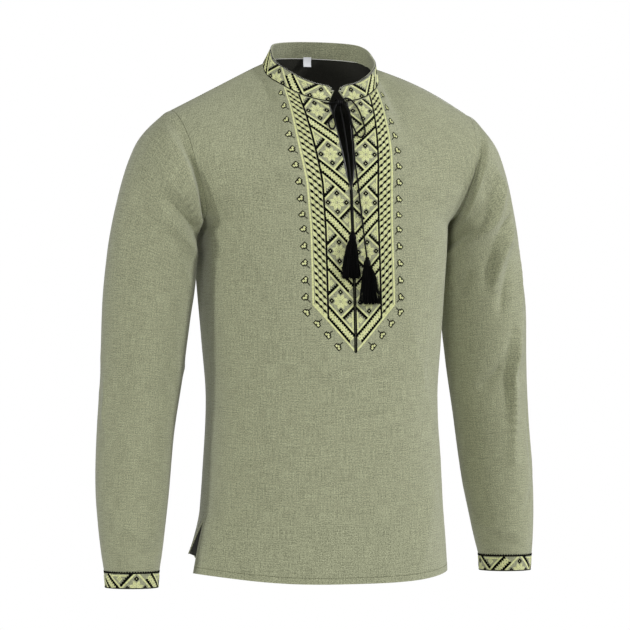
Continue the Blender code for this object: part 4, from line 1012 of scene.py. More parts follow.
def collar_grid():
    """The collar's outer points and normals, rows from the neckline up, columns from the left front round
    the back to the right: the top leans in by a smooth curve of degrees, and each front corner is a quarter
    circle."""
    half = np.concatenate([neck_turns(-1), neck_turns(1)[-2::-1]])
    opening = half[0] - np.arcsin(COLLAR_TOP_GAP / NECK_HALF_WIDTH)
    half_top = half - opening * np.clip(1 - (half - half[0]) / radians(COLLAR_CLOSING_TURN), 0, 1)
    sides = np.where(np.arange(2 * len(half) - 1) < len(half), 1, -1)

    def ring(turn, height):
        folded = np.concatenate([turn, turn[-2::-1]])
        base = neckline(folded)
        base[:, 0] *= sides
        inward = unit(-base * [1, 1, 0])
        leans = [smooth_through([0, pi / 2, pi], COLLAR_LEAN[side], folded) for side in ("left", "right")]
        lean = np.radians(np.where(sides > 0, *leans))[:, None]
        up = inward * np.sin(lean) + np.array([0, 0, 1]) * np.cos(lean)
        out = -inward * np.cos(lean) + np.array([0, 0, 1]) * np.sin(lean)
        return base + up * height[:, None], out

    from_end = (half - half[0]) * NECK_FRONT
    rounding = COLLAR_CORNER * (1 - np.sqrt(1 - np.clip(1 - from_end / COLLAR_CORNER, 0, 1) ** 2))
    height = COLLAR_HEIGHT - rounding
    height = np.concatenate([height, height[-2::-1]])
    foot, out = ring(half, np.full(len(height), SEAM_GAP))
    top, _ = ring(half_top, height)
    rise = np.linspace(0, 1, COLLAR_ROWS + 1)[:, None, None]
    level = unit(out * [1, 1, 0])
    return foot * (1 - rise) + top * rise, unit(level * (1 - rise) + out * rise)


collar_outer, collar_normals = collar_grid()
collar_inner = collar_outer - collar_normals * DOUBLE_CLOTH
collar = wall(
    "collar_linen", collar_outer.reshape(-1, 3), collar_inner.reshape(-1, 3),
    grid_faces(*collar_outer.shape[:2]),
    grid_uv(run_along(collar_outer, 1), run_along(collar_outer, 0)), [linen_out, linen_out],
)
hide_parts("collar")

# The embroidery: counted satin stitch in pale green and black cotton, worked over the front, the collar and
# the cuffs to one geometric chart. The chart is in millimetres on the flat cloth, across from the middle and
# down, and each stitch is a ridge of thread that follows the cloth.
# Threads 0.4 mm apart would not show, so they are drawn 0.85 mm apart.
STITCH_PITCH = 0.85
STITCH_WIDTH = 1.35
STITCH_HEIGHT = 0.32
STITCH_SINK = 0.15
# The black is sewn last, over the pale
BLACK_RAISED = 0.12
STITCH_END = 0.2
LONGEST_STITCH = 6.0
SHORTEST_STITCH = 0.5
CORRECTIONS = 10
# The chart's strip: lozenges on its middle line, one to a repeat, whose four sides are DIAGONAL from it
REPEAT = 70.0
MIDDLE = 21.2
DIAGONAL = 22.5
LINE_HALF = 2.0
BAND_BACK = 24.2
STRIP = (2.35, 38.8)
TOOTH_PITCH = 5.4
# How far out a black band's solid part and its teeth reach
TOOTH = (28.2, 31.6)
CHAIN = (28.6, 41.4)
CHAIN_PITCH = 8.2
CHAIN_HOLE = 1.5
CHAIN_SMALL_HOLE = 0.9
CHAIN_SMALL_HOLE_OFF = 3.4
PETAL_TIP = 12.2
PETAL_WIDE = (7.8, 20.6)
PETAL_ROOT = 0.5
PETAL_TURNS = (22.5, 360, 45)
PETAL_STITCH_TURN = 38
DIAMOND_AT = 13.3
DIAMOND_HALF = 4.0
DIAMOND_EYE = 1.05
CHEQUER_AT = (13.2, -24.9)
CHEQUER_PITCH = 3.3
CHEQUER_SIDE = 2.9
# The upright lines beside the lozenge, as oblongs, and the slanting limits that cut their ends
UPRIGHT_OUT = (36.4, 38.6, -37, -12.5)
UPRIGHT_OUT_LIMITS = (-0.5, 50.6)
UPRIGHT_IN = (2.6, 4.8, 12.5, 37)
UPRIGHT_IN_LIMITS = (41.9, 8.0)
# The border beside the strip: slanting black rows with three diamonds each, and pale blocks between them
COLUMN = (38.6, 41.4)
BORDER_ROW = 10.0
BORDER_ROW_HALF = 1.0
BORDER_DIAMONDS = (44.5, 50.3, 56.1)
BORDER_DIAMOND_HALF = 2.7
BORDER_BLOCKS = ((41.7, 46.7), (47.5, 52.5), (53.3, 58.6))
BORDER_BLOCK = (1.5, 8.5)
EDGE = (59.8, 62.6)
EDGE_ANGLE = 25

Cloth = namedtuple("Cloth", "points normals across down")


def hatch(loops, angle, pitch=STITCH_PITCH):
    """Parallel stitches, at an angle in degrees, that fill the loops: on each scan line the crossings with
    the loops' edges are sorted and taken in pairs, so a loop inside another is a hole."""
    turn = radians(angle)
    spin = np.array([[cos(turn), sin(turn)], [-sin(turn), cos(turn)]])
    loops = [np.asarray(loop, float) for loop in loops]
    starts = np.concatenate(loops) @ spin.T
    ends = np.concatenate([np.roll(loop, -1, axis=0) for loop in loops]) @ spin.T
    lines = (np.arange(np.floor(starts[:, 1].min() / pitch), starts[:, 1].max() / pitch) + 0.5) * pitch
    crossed = (starts[:, 1] <= lines[:, None]) != (ends[:, 1] <= lines[:, None])
    rise = np.where(crossed, ends[:, 1] - starts[:, 1], 1)
    at = starts[:, 0] + (lines[:, None] - starts[:, 1]) / rise * (ends[:, 0] - starts[:, 0])
    at = np.sort(np.where(crossed, at, np.inf), axis=1)
    at = at[:, : at.shape[1] // 2 * 2].reshape(len(lines), -1, 2)
    line, pair = np.nonzero(np.isfinite(at[..., 1]))
    return np.stack([at[line, pair], np.repeat(lines[line, None], 2, axis=1)], axis=-1) @ spin


def trim(stitches, inside):
    """The stitches' parts where inside, a function of a point's across d and down t, is above 0."""
    value = inside(stitches[..., 0], stitches[..., 1])
    some = (value > 0).any(axis=1)
    stitches, value = stitches[some], value[some]
    cut_off = value < 0
    share = np.where(cut_off, -value / np.where(cut_off, value[:, ::-1] - value, 1), 0)
    return stitches + (stitches[:, ::-1] - stitches) * share[..., None]


def split(stitches):
    """Cuts long stitches into equal shorter ones, and leaves out what is too short to sew."""
    length = np.linalg.norm(stitches[:, 1] - stitches[:, 0], axis=1)
    stitches, length = stitches[length > SHORTEST_STITCH], length[length > SHORTEST_STITCH]
    parts = np.ceil(length / LONGEST_STITCH).astype(int)
    part = np.arange(parts.sum()) - np.repeat(np.cumsum(parts) - parts, parts)
    whole, parts = np.repeat(stitches, parts, axis=0), np.repeat(parts, parts)
    share = np.stack([part / parts, (part + 1) / parts], axis=1)[..., None]
    return whole[:, :1] + (whole[:, 1:] - whole[:, :1]) * share


def sample(grid, row, column):
    """A grid's values between its points, straight both ways."""
    r = np.clip(row, 0, grid.shape[0] - 1.001).astype(int)
    c = np.clip(column, 0, grid.shape[1] - 1.001).astype(int)
    down, across = row - r, column - c
    if grid.ndim == 3:
        down, across = down[..., None], across[..., None]
    upper = grid[r, c] * (1 - across) + grid[r, c + 1] * across
    lower = grid[r + 1, c] * (1 - across) + grid[r + 1, c + 1] * across
    return upper * (1 - down) + lower * down


def on_cloth(cloth, flat):
    """Where charted points lie on a cloth, with its normals there: the row and the column are corrected in
    turn by the distance that is left over the grid's own spacing, until both are met."""
    rows, columns = cloth.across.shape
    row, column = np.full(flat.shape[:-1], rows / 2), np.full(flat.shape[:-1], columns / 2)
    spacing_across, spacing_down = np.gradient(cloth.across, axis=1), np.gradient(cloth.down, axis=0)
    for _ in range(CORRECTIONS):
        left = flat[..., 0] - sample(cloth.across, row, column)
        column = np.clip(column + left / sample(spacing_across, row, column), 0, columns - 1)
        left = flat[..., 1] - sample(cloth.down, row, column)
        row = np.clip(row + left / sample(spacing_down, row, column), 0, rows - 1)
    return sample(cloth.points, row, column), unit(sample(cloth.normals, row, column))


def put_ridges(name, ridges, finish):
    """One object of many closed ridges, each given by eight corners: an end, two triangles, the other end."""
    quads = [(1, 4, 5, 2), (2, 5, 6, 3), (3, 6, 4, 1)]
    triangles = [(0, 1, 2), (0, 2, 3), (0, 3, 1), (7, 5, 4), (7, 6, 5), (7, 4, 6)]
    number = np.arange(len(ridges))[:, None, None]
    parts = [np.array(quads), np.array(triangles)]
    faces = [(number * 8 + part).reshape(-1, part.shape[1]) for part in parts]
    uv = [np.broadcast_to(number[..., None], (len(ridges), *part.shape, 2)).reshape(-1, 2) for part in parts]
    made = put(name, ridges.reshape(-1, 3), faces, finish, np.concatenate(uv))
    return made


def sew(name, work, finish, raised=0):
    """One object of all the stitches of a thread. work is (cloth, stitches) pairs. A stitch is a closed
    ridge: its two ends, and between them two triangles that stand on the cloth, or raised above it."""
    points = []
    for cloth, stitches in work:
        stitches = split(stitches)
        run = stitches[:, 1] - stitches[:, 0]
        along = unit(run)
        beside = along[:, ::-1] * [-STITCH_WIDTH / 2, STITCH_WIDTH / 2]
        first, last = stitches[:, 0] + along * STITCH_END, stitches[:, 1] - along * STITCH_END
        ring = [stitches[:, 0], first - beside, first, first + beside]
        ring += [last - beside, last, last + beside, stitches[:, 1]]
        place, normal = on_cloth(cloth, np.stack(ring, axis=1))
        side, top = -STITCH_SINK, STITCH_HEIGHT
        lift = np.array([0, side, top, side, side, top, side, 0])
        points.append(place + normal * ((lift + raised) / 1000)[:, None])
    return put_ridges(name, np.concatenate(points), finish)


def slant(*places):
    """Chart points from places along the lozenge's two diagonals: e goes down and out, g down and in."""
    e, g = np.array(places, float).T
    return np.stack([MIDDLE + (e - g) / 2, (e + g) / 2], axis=-1)


def saw(start, stop, back, foot, tip, pitch=TOOTH_PITCH):
    """The outline of a band with teeth on one side, as (along, off) points."""
    count = max(round((stop - start) / pitch), 1)
    along = np.linspace(start, stop, 2 * count + 1)
    off = np.where(np.arange(2 * count + 1) % 2, tip, foot)
    return [(start, back), (stop, back), *zip(along[::-1], off[::-1])]


def swapped(outline):
    return [(off, along) for along, off in outline]


def diamond(across, down, half):
    return np.array([across, down]) + half * np.array([(-1, 0), (0, -1), (1, 0), (0, 1)])


def oblong(left, right, top, foot):
    return [(left, top), (right, top), (right, foot), (left, foot)]


def strip_repeat():
    """One repeat of the strip round a lozenge whose middle is at down 0: its pale and its black stitches."""
    far = 3 * DIAGONAL
    pale, black = [], []
    for e in (-DIAGONAL, DIAGONAL):
        low, high = e - LINE_HALF, e + LINE_HALF
        pale.append(hatch([slant(*oblong(low, high, -far, far))], 45))
        pale.append(hatch([slant(*swapped(oblong(low, high, -DIAGONAL, DIAGONAL)))], 135))
    tooth = np.array(TOOTH)
    for back, (foot, tip) in ((BAND_BACK, tooth), (REPEAT - BAND_BACK, REPEAT - tooth)):
        outline = saw(-far, far, back, foot, tip)
        black.append(hatch([slant(*swapped(outline))], 45))
    black.append(hatch([slant(*saw(-DIAGONAL + LINE_HALF, DIAGONAL, -BAND_BACK, *-tooth))], 135))
    black.append(hatch([slant(*saw(-DIAGONAL, DIAGONAL - LINE_HALF, BAND_BACK, *tooth))], 135))
    # The chain between two black bands: a pale ground under the teeth, with a row of small holes
    ground = [slant(*oblong(*CHAIN, -far, far))]
    small = [(REPEAT / 2 + way * CHAIN_SMALL_HOLE_OFF, CHAIN_SMALL_HOLE) for way in (-1, 1)]
    for g in np.arange(-far, far, CHAIN_PITCH):
        for e, half in ((REPEAT / 2, CHAIN_HOLE), *small):
            at = g + (CHAIN_PITCH / 2 if half < CHAIN_HOLE else 0)
            ground.append(slant((e - half, at), (e, at - half), (e + half, at), (e, at + half)))
    pale.append(hatch(ground, 45))
    for turn in np.arange(*PETAL_TURNS):
        for way in (-1, 1):
            wide = radians(turn + way * PETAL_WIDE[1])
            tip = radians(turn)
            half = [(PETAL_ROOT, tip), (PETAL_WIDE[0], wide), (PETAL_TIP, tip)]
            petal = [(MIDDLE + r * cos(a), r * sin(a)) for r, a in half]
            pale.append(hatch([petal], turn + way * PETAL_STITCH_TURN))
    for across, down in ((-1, 0), (1, 0), (0, -1), (0, 1)):
        place = MIDDLE + across * DIAMOND_AT, down * DIAMOND_AT
        black.append(hatch([diamond(*place, DIAMOND_HALF), diamond(*place, DIAMOND_EYE)], 0))
        pale.append(hatch([diamond(*place, DIAMOND_EYE)], 90))
    for way in (1, -1):
        for i in (-1, 0, 1):
            for j in (-1, 0, 1):
                place = MIDDLE + way * CHEQUER_AT[0], way * CHEQUER_AT[1]
                place = place[0] + (i - j) * CHEQUER_PITCH / 2, place[1] + (i + j) * CHEQUER_PITCH / 2
                pale.append(hatch([diamond(*place, CHEQUER_SIDE / 2)], 0 if (i + j) % 2 else 90))
    # Upright pale lines close the two triangles beside the lozenge
    upright = trim(hatch([oblong(*UPRIGHT_OUT)], 0), lambda d, t: d + t - UPRIGHT_OUT_LIMITS[0])
    pale.append(trim(upright, lambda d, t: d - t - UPRIGHT_OUT_LIMITS[1]))
    upright = trim(hatch([oblong(*UPRIGHT_IN)], 0), lambda d, t: UPRIGHT_IN_LIMITS[0] - d - t)
    pale.append(trim(upright, lambda d, t: t - d - UPRIGHT_IN_LIMITS[1]))
    return np.concatenate(pale), np.concatenate(black)


def border_repeat():
    """One repeat of the border, from down 0: its pale and its black stitches."""
    pale, black = [], []
    rows = round(REPEAT / BORDER_ROW)
    low, high = BORDER_BLOCKS[0][0], BORDER_BLOCKS[-1][1]
    for row in range(rows):
        e = row * BORDER_ROW
        bar = oblong(low, high, -BORDER_ROW_HALF, BORDER_ROW_HALF)
        black.append(hatch([[(d, e + off - d) for d, off in bar]], 45))
        black += [hatch([diamond(d, e - d, BORDER_DIAMOND_HALF)], 0) for d in BORDER_DIAMONDS]
        for number, (left, right) in enumerate(BORDER_BLOCKS):
            top, foot = e + BORDER_BLOCK[0], e + BORDER_BLOCK[1]
            block = [(d, t - d) for d, t in oblong(left, right, top, foot)]
            pale.append(hatch([block], 90 * ((row + number) % 2)))
    black.append(hatch([oblong(*COLUMN, 0, REPEAT)], 0))
    pale.append(hatch([oblong(*EDGE, 0, REPEAT)], EDGE_ANGLE))
    return np.concatenate(pale), np.concatenate(black)


def cotton(name, colour, light, roughness, sheen, gloss):
    """Stranded cotton: each stitch is a shade of its own between the two colours, with a soft silky gleam."""
    made, tree, base = surface(
        name, colour, roughness, Sheen_Weight=sheen, Sheen_Roughness=0.4, Specular_IOR_Level=gloss
    )
    number = add(tree, "UVMap", uv_map="cloth").outputs[0]
    shade = add(tree, "TexWhiteNoise", {"Vector": number}, noise_dimensions="2D").outputs["Value"]
    tint = add(tree, "Mix", {0: shade, 6: linear(colour), 7: linear(light)}, data_type="RGBA")
    tree.links.new(tint.outputs[2], base.inputs["Base Color"])
    fibre = add(tree, "TexNoise", {"Vector": add(tree, "TexCoord").outputs["Object"], "Scale": 2500.0})
    bump = add(tree, "Bump", {"Height": fibre.outputs["Fac"], "Strength": 0.3, "Distance": 0.0002})
    tree.links.new(bump.outputs[0], base.inputs["Normal"])
    return made


pale_cotton = cotton("pale green stranded cotton", "#c0c488", "#dde0ab", 0.55, 0.2, 0.5)
black_cotton = cotton("black stranded cotton", "#020202", "#060605", 0.75, 0.0, 0.08)
strip = strip_repeat()
border = border_repeat()

# The front's panel: five lozenges down each half, mirrored at the slit, ending in a point that a pale line
# closes; a black satin bar joins the halves below the slit, and little sprigs stand along the edges.
PANEL_LEVEL_Z = -0.1945
PANEL_LEVEL_LOZENGE = 2
PANEL_LOZENGES = 5
PANEL_NECK_GAP = 1.2
# The chart runs straighter past the slit than its curved edge, which takes a little of the innermost stitches
PANEL_SLIT_CURVE = 1.15
PANEL_SLIT_GAP = 0.3
# The cloth is eased towards the neck, where the open slit lets the panel spread
PANEL_SPREAD = 0.13
SPREAD_TO_Z = -0.230
POINT = (PANEL_LOZENGES - 1) * REPEAT + MIDDLE + REPEAT - DIAGONAL
BAR_FROM = 122.0
BAR_TIP = 2.4
BAR_IN = 0.1
BAR_ANGLE = 12
SPRIG_STEP = 24.0
SPRIG_STEP_POINT = 21.0
SPRIG_OUT = 9.6
SPRIG_OUT_POINT = 13.5
SPRIG_ABOVE_CORNER = 10.0
SPRIG_BELOW_NECK = 6
SPRIG_FIRST = 2.0
SPRIG_STEM = (4.6, 9.6)
SPRIG_BEAD_STEP = 2.1
SPRIG_BEAD = 1.15
SPRIG_LOBE_OUT = 2.3
SPRIG_LOBE_ALONG = 0.9
SPRIG_LOBE = 2.3
SPRIG_RIM = 4.3


def panel_cloth(side):
    """Half of the front with the chart's own across, from the slit, and down, from a level row."""
    part = slice(centre + 1, None) if side == "left" else slice(centre, None, -1)
    points, normals = front_grid[::-1, part], front_normals[::-1, part]
    down = run_along(points, 0) * 1000
    level = np.argmin(np.abs(points[:, 0, 2] - PANEL_LEVEL_Z))
    down = down - down[level] + PANEL_LEVEL_LOZENGE * REPEAT
    up = np.clip((points[:, :1, 2] - SLIT_FOOT_Z) / (NECK_Z[0] - SLIT_FOOT_Z), 0, 1)
    taken = SLIT_TOP_HALF * (up**SLIT_CURVE - up**PANEL_SLIT_CURVE)
    eased = 1 + PANEL_SPREAD * np.clip((points[:, :1, 2] - SPREAD_TO_Z) / (NECK_Z[0] - SPREAD_TO_Z), 0, 1)
    return Cloth(points, normals, (run_along(points, 1) / eased + taken) * 1000, down)


def away_from(across, down, lobes, number):
    """Above 0 outside all the lobes but one."""
    others = [lobe for k, lobe in enumerate(lobes) if k != number]
    apart = [np.abs(across - lobe[0]) + np.abs(down - lobe[1]) - SPRIG_LOBE for lobe in others]
    return np.minimum(*apart)


def sprig(turn):
    """A little flower of three lobes on a beaded stem that points from its middle at an angle: its pale and
    its black stitches."""
    way = np.array([cos(radians(turn)), sin(radians(turn))])
    side = np.array([-way[1], way[0]])
    along, out = way * SPRIG_LOBE_ALONG, side * SPRIG_LOBE_OUT
    lobes = [out - along, -out - along, along]
    beads = [diamond(*(way * run), SPRIG_BEAD) for run in np.arange(*SPRIG_STEM, SPRIG_BEAD_STEP)]
    rims = [[diamond(*lobe, SPRIG_RIM), diamond(*lobe, SPRIG_LOBE)] for lobe in lobes]
    pale = [hatch([diamond(*lobe, SPRIG_LOBE)], turn + 90 * (k == 2)) for k, lobe in enumerate(lobes)]
    black = [trim(hatch(rim, 0), lambda d, t: away_from(d, t, lobes, k)) for k, rim in enumerate(rims)]
    return np.concatenate(pale), np.concatenate([*black, *(hatch([bead], 0) for bead in beads)])


def panel_work(side):
    cloth = panel_cloth(side)
    top = lambda d: np.interp(d, cloth.across[0], cloth.down[0]) + PANEL_NECK_GAP
    slit = lambda t: np.interp(t, cloth.down[:, 0], cloth.across[:, 0])
    work = []
    corner = POINT + LINE_HALF - EDGE[1]
    highest = top(EDGE[1] + SPRIG_OUT) + SPRIG_BELOW_NECK
    edge_heads = np.arange(corner - SPRIG_ABOVE_CORNER, highest, -SPRIG_STEP)
    point_heads = np.arange(SPRIG_FIRST, corner / 4, SPRIG_STEP_POINT)
    for colour in (0, 1):
        repeats = [strip[colour] + [0, REPEAT * k] for k in range(-1, PANEL_LOZENGES)]
        stitches = trim(trim(np.concatenate(repeats), lambda d, t: d - STRIP[0]), lambda d, t: STRIP[1] - d)
        repeats = [border[colour] + [0, REPEAT * k] for k in range(-2, PANEL_LOZENGES)]
        stitches = np.concatenate([stitches, *repeats])
        stitches = trim(stitches, lambda d, t: POINT - LINE_HALF - d - t)
        if colour == 0:
            line = oblong(STRIP[0], EDGE[1], POINT - LINE_HALF, POINT + LINE_HALF)
            stitches = np.concatenate([stitches, hatch([[(d, e - d) for d, e in line]], 45)])
        else:
            foot = POINT + BAR_TIP
            slanted = [(STRIP[0], foot - STRIP[0]), (BAR_IN, foot)]
            bar = [(BAR_IN, BAR_FROM), (STRIP[0], BAR_FROM), *slanted]
            stitches = np.concatenate([stitches, hatch([bar], BAR_ANGLE)])
        heads = [(EDGE[1] + SPRIG_OUT, t, 135) for t in edge_heads]
        step = np.array([-1, 1]) / np.sqrt(2)
        out = np.array([1, 1]) / np.sqrt(2)
        for run in point_heads:
            place = np.array([EDGE[1], corner]) + step * run + out * SPRIG_OUT_POINT
            heads.append((*place, 225))
        sprigs = [sprig(turn)[colour] + [d, t] for d, t, turn in heads]
        stitches = np.concatenate([stitches, *sprigs])
        stitches = trim(stitches, lambda d, t: t - top(d))
        work.append((cloth, trim(stitches, lambda d, t: d - slit(t) - PANEL_SLIT_GAP * (t < BAR_FROM))))
    return work


panel = [panel_work(side) for side in ("left", "right")]
sew("panel_pale_stitches", [half[0] for half in panel], pale_cotton)
sew("panel_black_stitches", [half[1] for half in panel], black_cotton, BLACK_RAISED)

# The slit's binding: each edge is bound over and over with black rayon, which gives a narrow gleam all along.
BINDING_ACROSS = (-0.5, -0.2, 0.7, 1.6, 2.2, 1.2, 0.2)
BINDING_LIFT = (-0.7, 0.25, 0.62, 0.3, -0.1, -0.3, -0.9)
BINDING_STEP = 0.8
BINDING_NOTCH = 0.06
BINDING_BELOW_NECK = 0.6
BINDING_PAST_BAR = 2
# It narrows over so many of its last millimetres, to this share of its width
BINDING_CLOSES_OVER = 16
BINDING_CLOSED = 0.25
binding_rayon, tree, base = surface("black rayon binding", "#060606", 0.3, Specular_IOR_Level=0.9)
place = add(tree, "TexCoord").outputs["Object"]
over = add(tree, "TexWave", {"Vector": place, "Scale": 300.0, "Distortion": 0.5}, bands_direction="Z")
bump = add(tree, "Bump", {"Height": over.outputs["Fac"], "Strength": 0.25, "Distance": 0.0002})
tree.links.new(bump.outputs[0], base.inputs["Normal"])


def binding(side):
    """A closed tube along one edge of the slit: its ring is a flat bead over the cloth's edge, in the chart's
    millimetres from it, and it is notched where each turn of the thread lies."""
    cloth = panel_cloth(side)
    foot = BAR_FROM + BINDING_PAST_BAR
    down = np.arange(cloth.down[0, 0] + BINDING_BELOW_NECK, foot, BINDING_STEP)
    edge = np.interp(down, cloth.down[:, 0], cloth.across[:, 0])
    closing = np.clip((foot - down) / BINDING_CLOSES_OVER, BINDING_CLOSED, 1)[:, None]
    across = np.array(BINDING_ACROSS) * closing
    on_edge = edge[:, None] + np.clip(across, 0, None)
    flat = np.stack([on_edge, np.broadcast_to(down[:, None], across.shape)], axis=-1)
    place, normal = on_cloth(cloth, flat)
    notch = 1 - BINDING_NOTCH * (np.arange(len(down)) % 2)[:, None]
    lift = np.array(BINDING_LIFT) * notch
    beyond = np.array([-1 if side == "left" else 1, 0, 0]) * np.clip(-across, 0, None)[..., None]
    return place + (normal * lift[..., None] + beyond) / 1000


for side in ("left", "right"):
    rings = binding(side)
    made = put(f"slit_binding_{side}", rings, capped(*rings.shape[:2]), binding_rayon)

# The collar: the same strip runs round it from each front end, cut off by its two edges, with a black base
# line, and a black line along the top that small white stitches dot.
COLLAR_MIDDLE_ABOVE = 3.0
COLLAR_LOZENGE = 16.0
COLLAR_BASE = (0.2, 1.2)
COLLAR_BASE_PITCH = 0.5
COLLAR_TOP_LINE = 2.5
COLLAR_LINE_PITCH = 0.75
COLLAR_LINE_INSET = (0.05, 0.1)
COLLAR_DOT_STEP = 3
COLLAR_DOT_RAISED = 0.3
COLLAR_END_GAP = 1.0
COLLAR_DOT = (0.9, 1.8)


def collar_cloth(side):
    """Half of the collar: the chart's across falls with the height above the seam, and its down is the run
    from the front end."""
    middle = collar_outer.shape[1] // 2
    part = slice(0, middle + 1) if side == "left" else slice(None, middle - 1, -1)
    points = collar_outer[:, part].transpose(1, 0, 2)
    normals = collar_normals[:, part].transpose(1, 0, 2)
    above = run_along(points, 1) * 1000
    down = run_along(points, 0)[:, :1] * 1000 + 0 * above
    return Cloth(points, normals, MIDDLE + COLLAR_MIDDLE_ABOVE - above, down)


def collar_work(side):
    """Its pale, black and white stitches."""
    cloth = collar_cloth(side)
    seam = cloth.across[0, 0]
    edge = lambda t: np.interp(t, cloth.down[:, 0], cloth.across[:, -1])
    back = cloth.down[-1, 0]
    work = []
    for colour in (0, 1):
        repeats = [strip[colour] + [0, COLLAR_LOZENGE + REPEAT * k] for k in range(-1, 5)]
        stitches = trim(np.concatenate(repeats), lambda d, t: d - edge(t) - COLLAR_TOP_LINE)
        stitches = trim(stitches, lambda d, t: seam - COLLAR_BASE[1] - d)
        stitches = trim(trim(stitches, lambda d, t: t - COLLAR_END_GAP), lambda d, t: back - t)
        work.append(stitches)
    along = np.arange(COLLAR_END_GAP, back, COLLAR_LINE_PITCH)
    ends = [edge(along) + COLLAR_LINE_INSET[0], edge(along) + COLLAR_TOP_LINE - COLLAR_LINE_INSET[1]]
    ends = np.stack(ends, axis=-1)
    line = np.stack([ends, np.repeat(along[:, None], 2, axis=1)], axis=-1)
    dots = line[::COLLAR_DOT_STEP].copy()
    dots[..., 0] = edge(along[::COLLAR_DOT_STEP])[:, None] + COLLAR_DOT
    foot = oblong(seam - COLLAR_BASE[1], seam - COLLAR_BASE[0], 0, back)
    base = hatch([foot], 90, COLLAR_BASE_PITCH)
    black = np.concatenate([work[1], line, base])
    return (cloth, work[0]), (cloth, black), (cloth, dots)


white_cotton = cotton("white stranded cotton", "#dfe0d4", "#f4f4ee", 0.5, 0.2, 0.5)
band = [collar_work(side) for side in ("left", "right")]
sew("collar_pale_stitches", [half[0] for half in band], pale_cotton)
sew("collar_black_stitches", [half[1] for half in band], black_cotton, BLACK_RAISED)
sew("collar_white_stitches", [half[2] for half in band], white_cotton, COLLAR_DOT_RAISED)

# The cuffs: the same strip round each, joined at the back, with a toothed black line over the seam and a
# black line along the open edge.
CUFF_MIDDLE_ABOVE = 1.0
CUFF_JOIN = 200
CUFF_LOZENGE_TURN = 82
CUFF_EDGE = 1.5
CUFF_EDGE_INSET = 0.2
CUFF_TOP = (20.9, 23.0, 24.6)


def cuff_cloth(side):
    """A cuff from its join round to it again: the chart's across falls with the height above its foot."""
    outer, normals = cuffs[side]
    count = outer.shape[1]
    order = (round(count * CUFF_JOIN / 360) - np.arange(count + 1)) % count
    points, normals = outer[:, order].transpose(1, 0, 2), normals[:, order].transpose(1, 0, 2)
    down = run_along(points, 0)[:, :1] * 1000
    down = down - down[round(count * (CUFF_JOIN - CUFF_LOZENGE_TURN) / 360)]
    above = CUFF_HEIGHT * 1000 - run_along(points, 1) * 1000
    return Cloth(points, normals, MIDDLE + CUFF_MIDDLE_ABOVE - above, down + 0 * above)


def cuff_work(side):
    cloth = cuff_cloth(side)
    first, last = cloth.down[0, 0], cloth.down[-1, 0]
    foot = MIDDLE + CUFF_MIDDLE_ABOVE
    work = []
    for colour in (0, 1):
        stitches = np.concatenate([strip[colour] + [0, REPEAT * k] for k in range(-3, 4)])
        stitches = trim(stitches, lambda d, t: d - foot + CUFF_TOP[0])
        stitches = trim(stitches, lambda d, t: foot - CUFF_EDGE - d)
        work.append(trim(trim(stitches, lambda d, t: t - first), lambda d, t: last - t))
    top = saw(first, last, *(foot - off for off in CUFF_TOP), TOOTH_PITCH / np.sqrt(2))
    edge = oblong(foot - CUFF_EDGE, foot - CUFF_EDGE_INSET, first, last)
    black = np.concatenate([work[1], hatch([swapped(top)], 0), hatch([edge], 0)])
    return (cloth, work[0]), (cloth, black)


for side in cuffs:
    pale_part, black_part = cuff_work(side)
    sew(f"cuff_{side}_pale_stitches", [pale_part], pale_cotton)
    sew(f"cuff_{side}_black_stitches", [black_part], black_cotton, BLACK_RAISED)

# The sewing: one row of olive thread shows along each seam and hem. It closes the armholes and the
# shoulders, and turns up the lower edge and the two sides of each vent.
SEAM_STITCH = 0.0030
SEAM_STITCH_GAP = 0.00025
SEAM_THREAD = 0.0010
SEAM_THREAD_HEIGHT = 0.00025
HEM_WIDTH = 0.009
VENT_HEM_WIDTH = 0.008
sewing_thread = cotton("olive sewing thread", "#45472f", "#585b42", 0.8, 0.0, 0.2)


def lockstitch(line, normals):
    """Stitches end to end along a line on the cloth, each as the eight corners of a ridge."""
    run = np.concatenate([[0], np.cumsum(np.linalg.norm(np.diff(line, axis=0), axis=1))])
    starts = np.arange(0, run[-1] - SEAM_STITCH, SEAM_STITCH)
    at = np.stack([starts + SEAM_STITCH_GAP, starts + SEAM_STITCH - SEAM_STITCH_GAP], axis=1)
    ends = np.stack([np.interp(at, run, line[:, k]) for k in range(3)], axis=-1)
    up = unit(np.stack([np.interp(at, run, normals[:, k]) for k in range(3)], axis=-1))
    along = unit(ends[:, 1] - ends[:, 0])[:, None]
    beside = unit(np.cross(up, along)) * SEAM_THREAD / 2
    ring = []
    for end, way in ((0, 1), (1, -1)):
        inner = ends[:, end] + along[:, 0] * way * SEAM_STITCH_GAP
        foot = inner - up[:, end] * STITCH_SINK / 1000
        ring += [foot - beside[:, end], inner + up[:, end] * SEAM_THREAD_HEIGHT, foot + beside[:, end]]
    return np.stack([ends[:, 0], *ring, ends[:, 1]], axis=1)


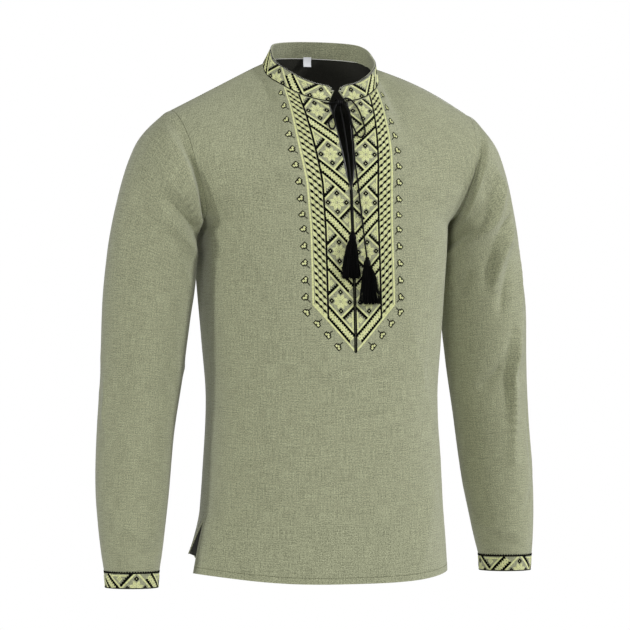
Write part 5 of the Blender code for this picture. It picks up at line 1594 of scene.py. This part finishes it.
def hem_lines(grid, normals):
    """The lower hem of a panel whose rows go up from it, and the turned edges of its two vents."""
    every = np.arange(grid.shape[1], dtype=float)
    row = HEM_WIDTH / run_along(grid, 0)[1]
    lines = [(sample(grid, row, every), sample(normals, row, every))]
    rows = np.arange(np.argmax(grid[:, 0, 2] > VENT_TOP_Z), dtype=float)
    for edge, way in ((0, 1), (grid.shape[1] - 1, -1)):
        step = np.linalg.norm(grid[: len(rows), edge + way] - grid[: len(rows), edge], axis=1)
        column = edge + way * VENT_HEM_WIDTH / step
        lines.append((sample(grid, rows, column), sample(normals, rows, column)))
    return lines


lines = hem_lines(front_grid, front_normals) + hem_lines(back_grid, back_normals)
for grid, normals in sleeves.values():
    lines.append((np.concatenate([grid[0], grid[0, :1]]), np.concatenate([normals[0], normals[0, :1]])))
reach = round(FRONT_COLUMNS * NECK_SHARE) + 1
lines += [(front_grid[-1, part], front_normals[-1, part]) for part in (slice(0, reach), slice(-reach, None))]
stitches = np.concatenate([lockstitch(*line) for line in lines])
put_ridges("seam_stitches", stitches, sewing_thread)

# The label: a blank tab of white woven tape, folded and sewn in at the back of the neck.
LABEL_X = 0.0042
LABEL_WIDTH = 0.0115
LABEL_TOP_Z = 0.0160
LABEL_FOOT_Z = 0.0022
LABEL_THICKNESS = 0.0010
LABEL_Y = 0.0630
LABEL_BOW = 0.0009
LABEL_TWIST = 0.0012
white_tape, tree, base = surface("white woven satin tape", "#eceef2", 0.5, Sheen_Weight=0.1)
place = add(tree, "TexCoord").outputs["Object"]
ribs = add(tree, "TexWave", {"Vector": place, "Scale": 160.0, "Distortion": 0.4}, bands_direction="Z")
bump = add(tree, "Bump", {"Height": ribs.outputs["Fac"], "Strength": 0.3, "Distance": 0.0002})
tree.links.new(bump.outputs[0], base.inputs["Normal"])
across, up = np.meshgrid(np.linspace(-0.5, 0.5, 7), np.linspace(0, 1, 15))
bow = LABEL_BOW * np.sin(pi * up) - LABEL_TWIST * across * up
rise = up * (LABEL_TOP_Z - LABEL_FOOT_Z)
tab = np.stack([LABEL_X + across * LABEL_WIDTH, LABEL_Y + bow, LABEL_FOOT_Z + rise], axis=-1)
half_wall = [0, LABEL_THICKNESS / 2, 0]
label = wall(
    "label_tape", (tab - half_wall).reshape(-1, 3), (tab + half_wall).reshape(-1, 3),
    grid_faces(*tab.shape[:2]), grid_uv(across * LABEL_WIDTH, rise), [white_tape, white_tape],
)
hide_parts("label_tab")
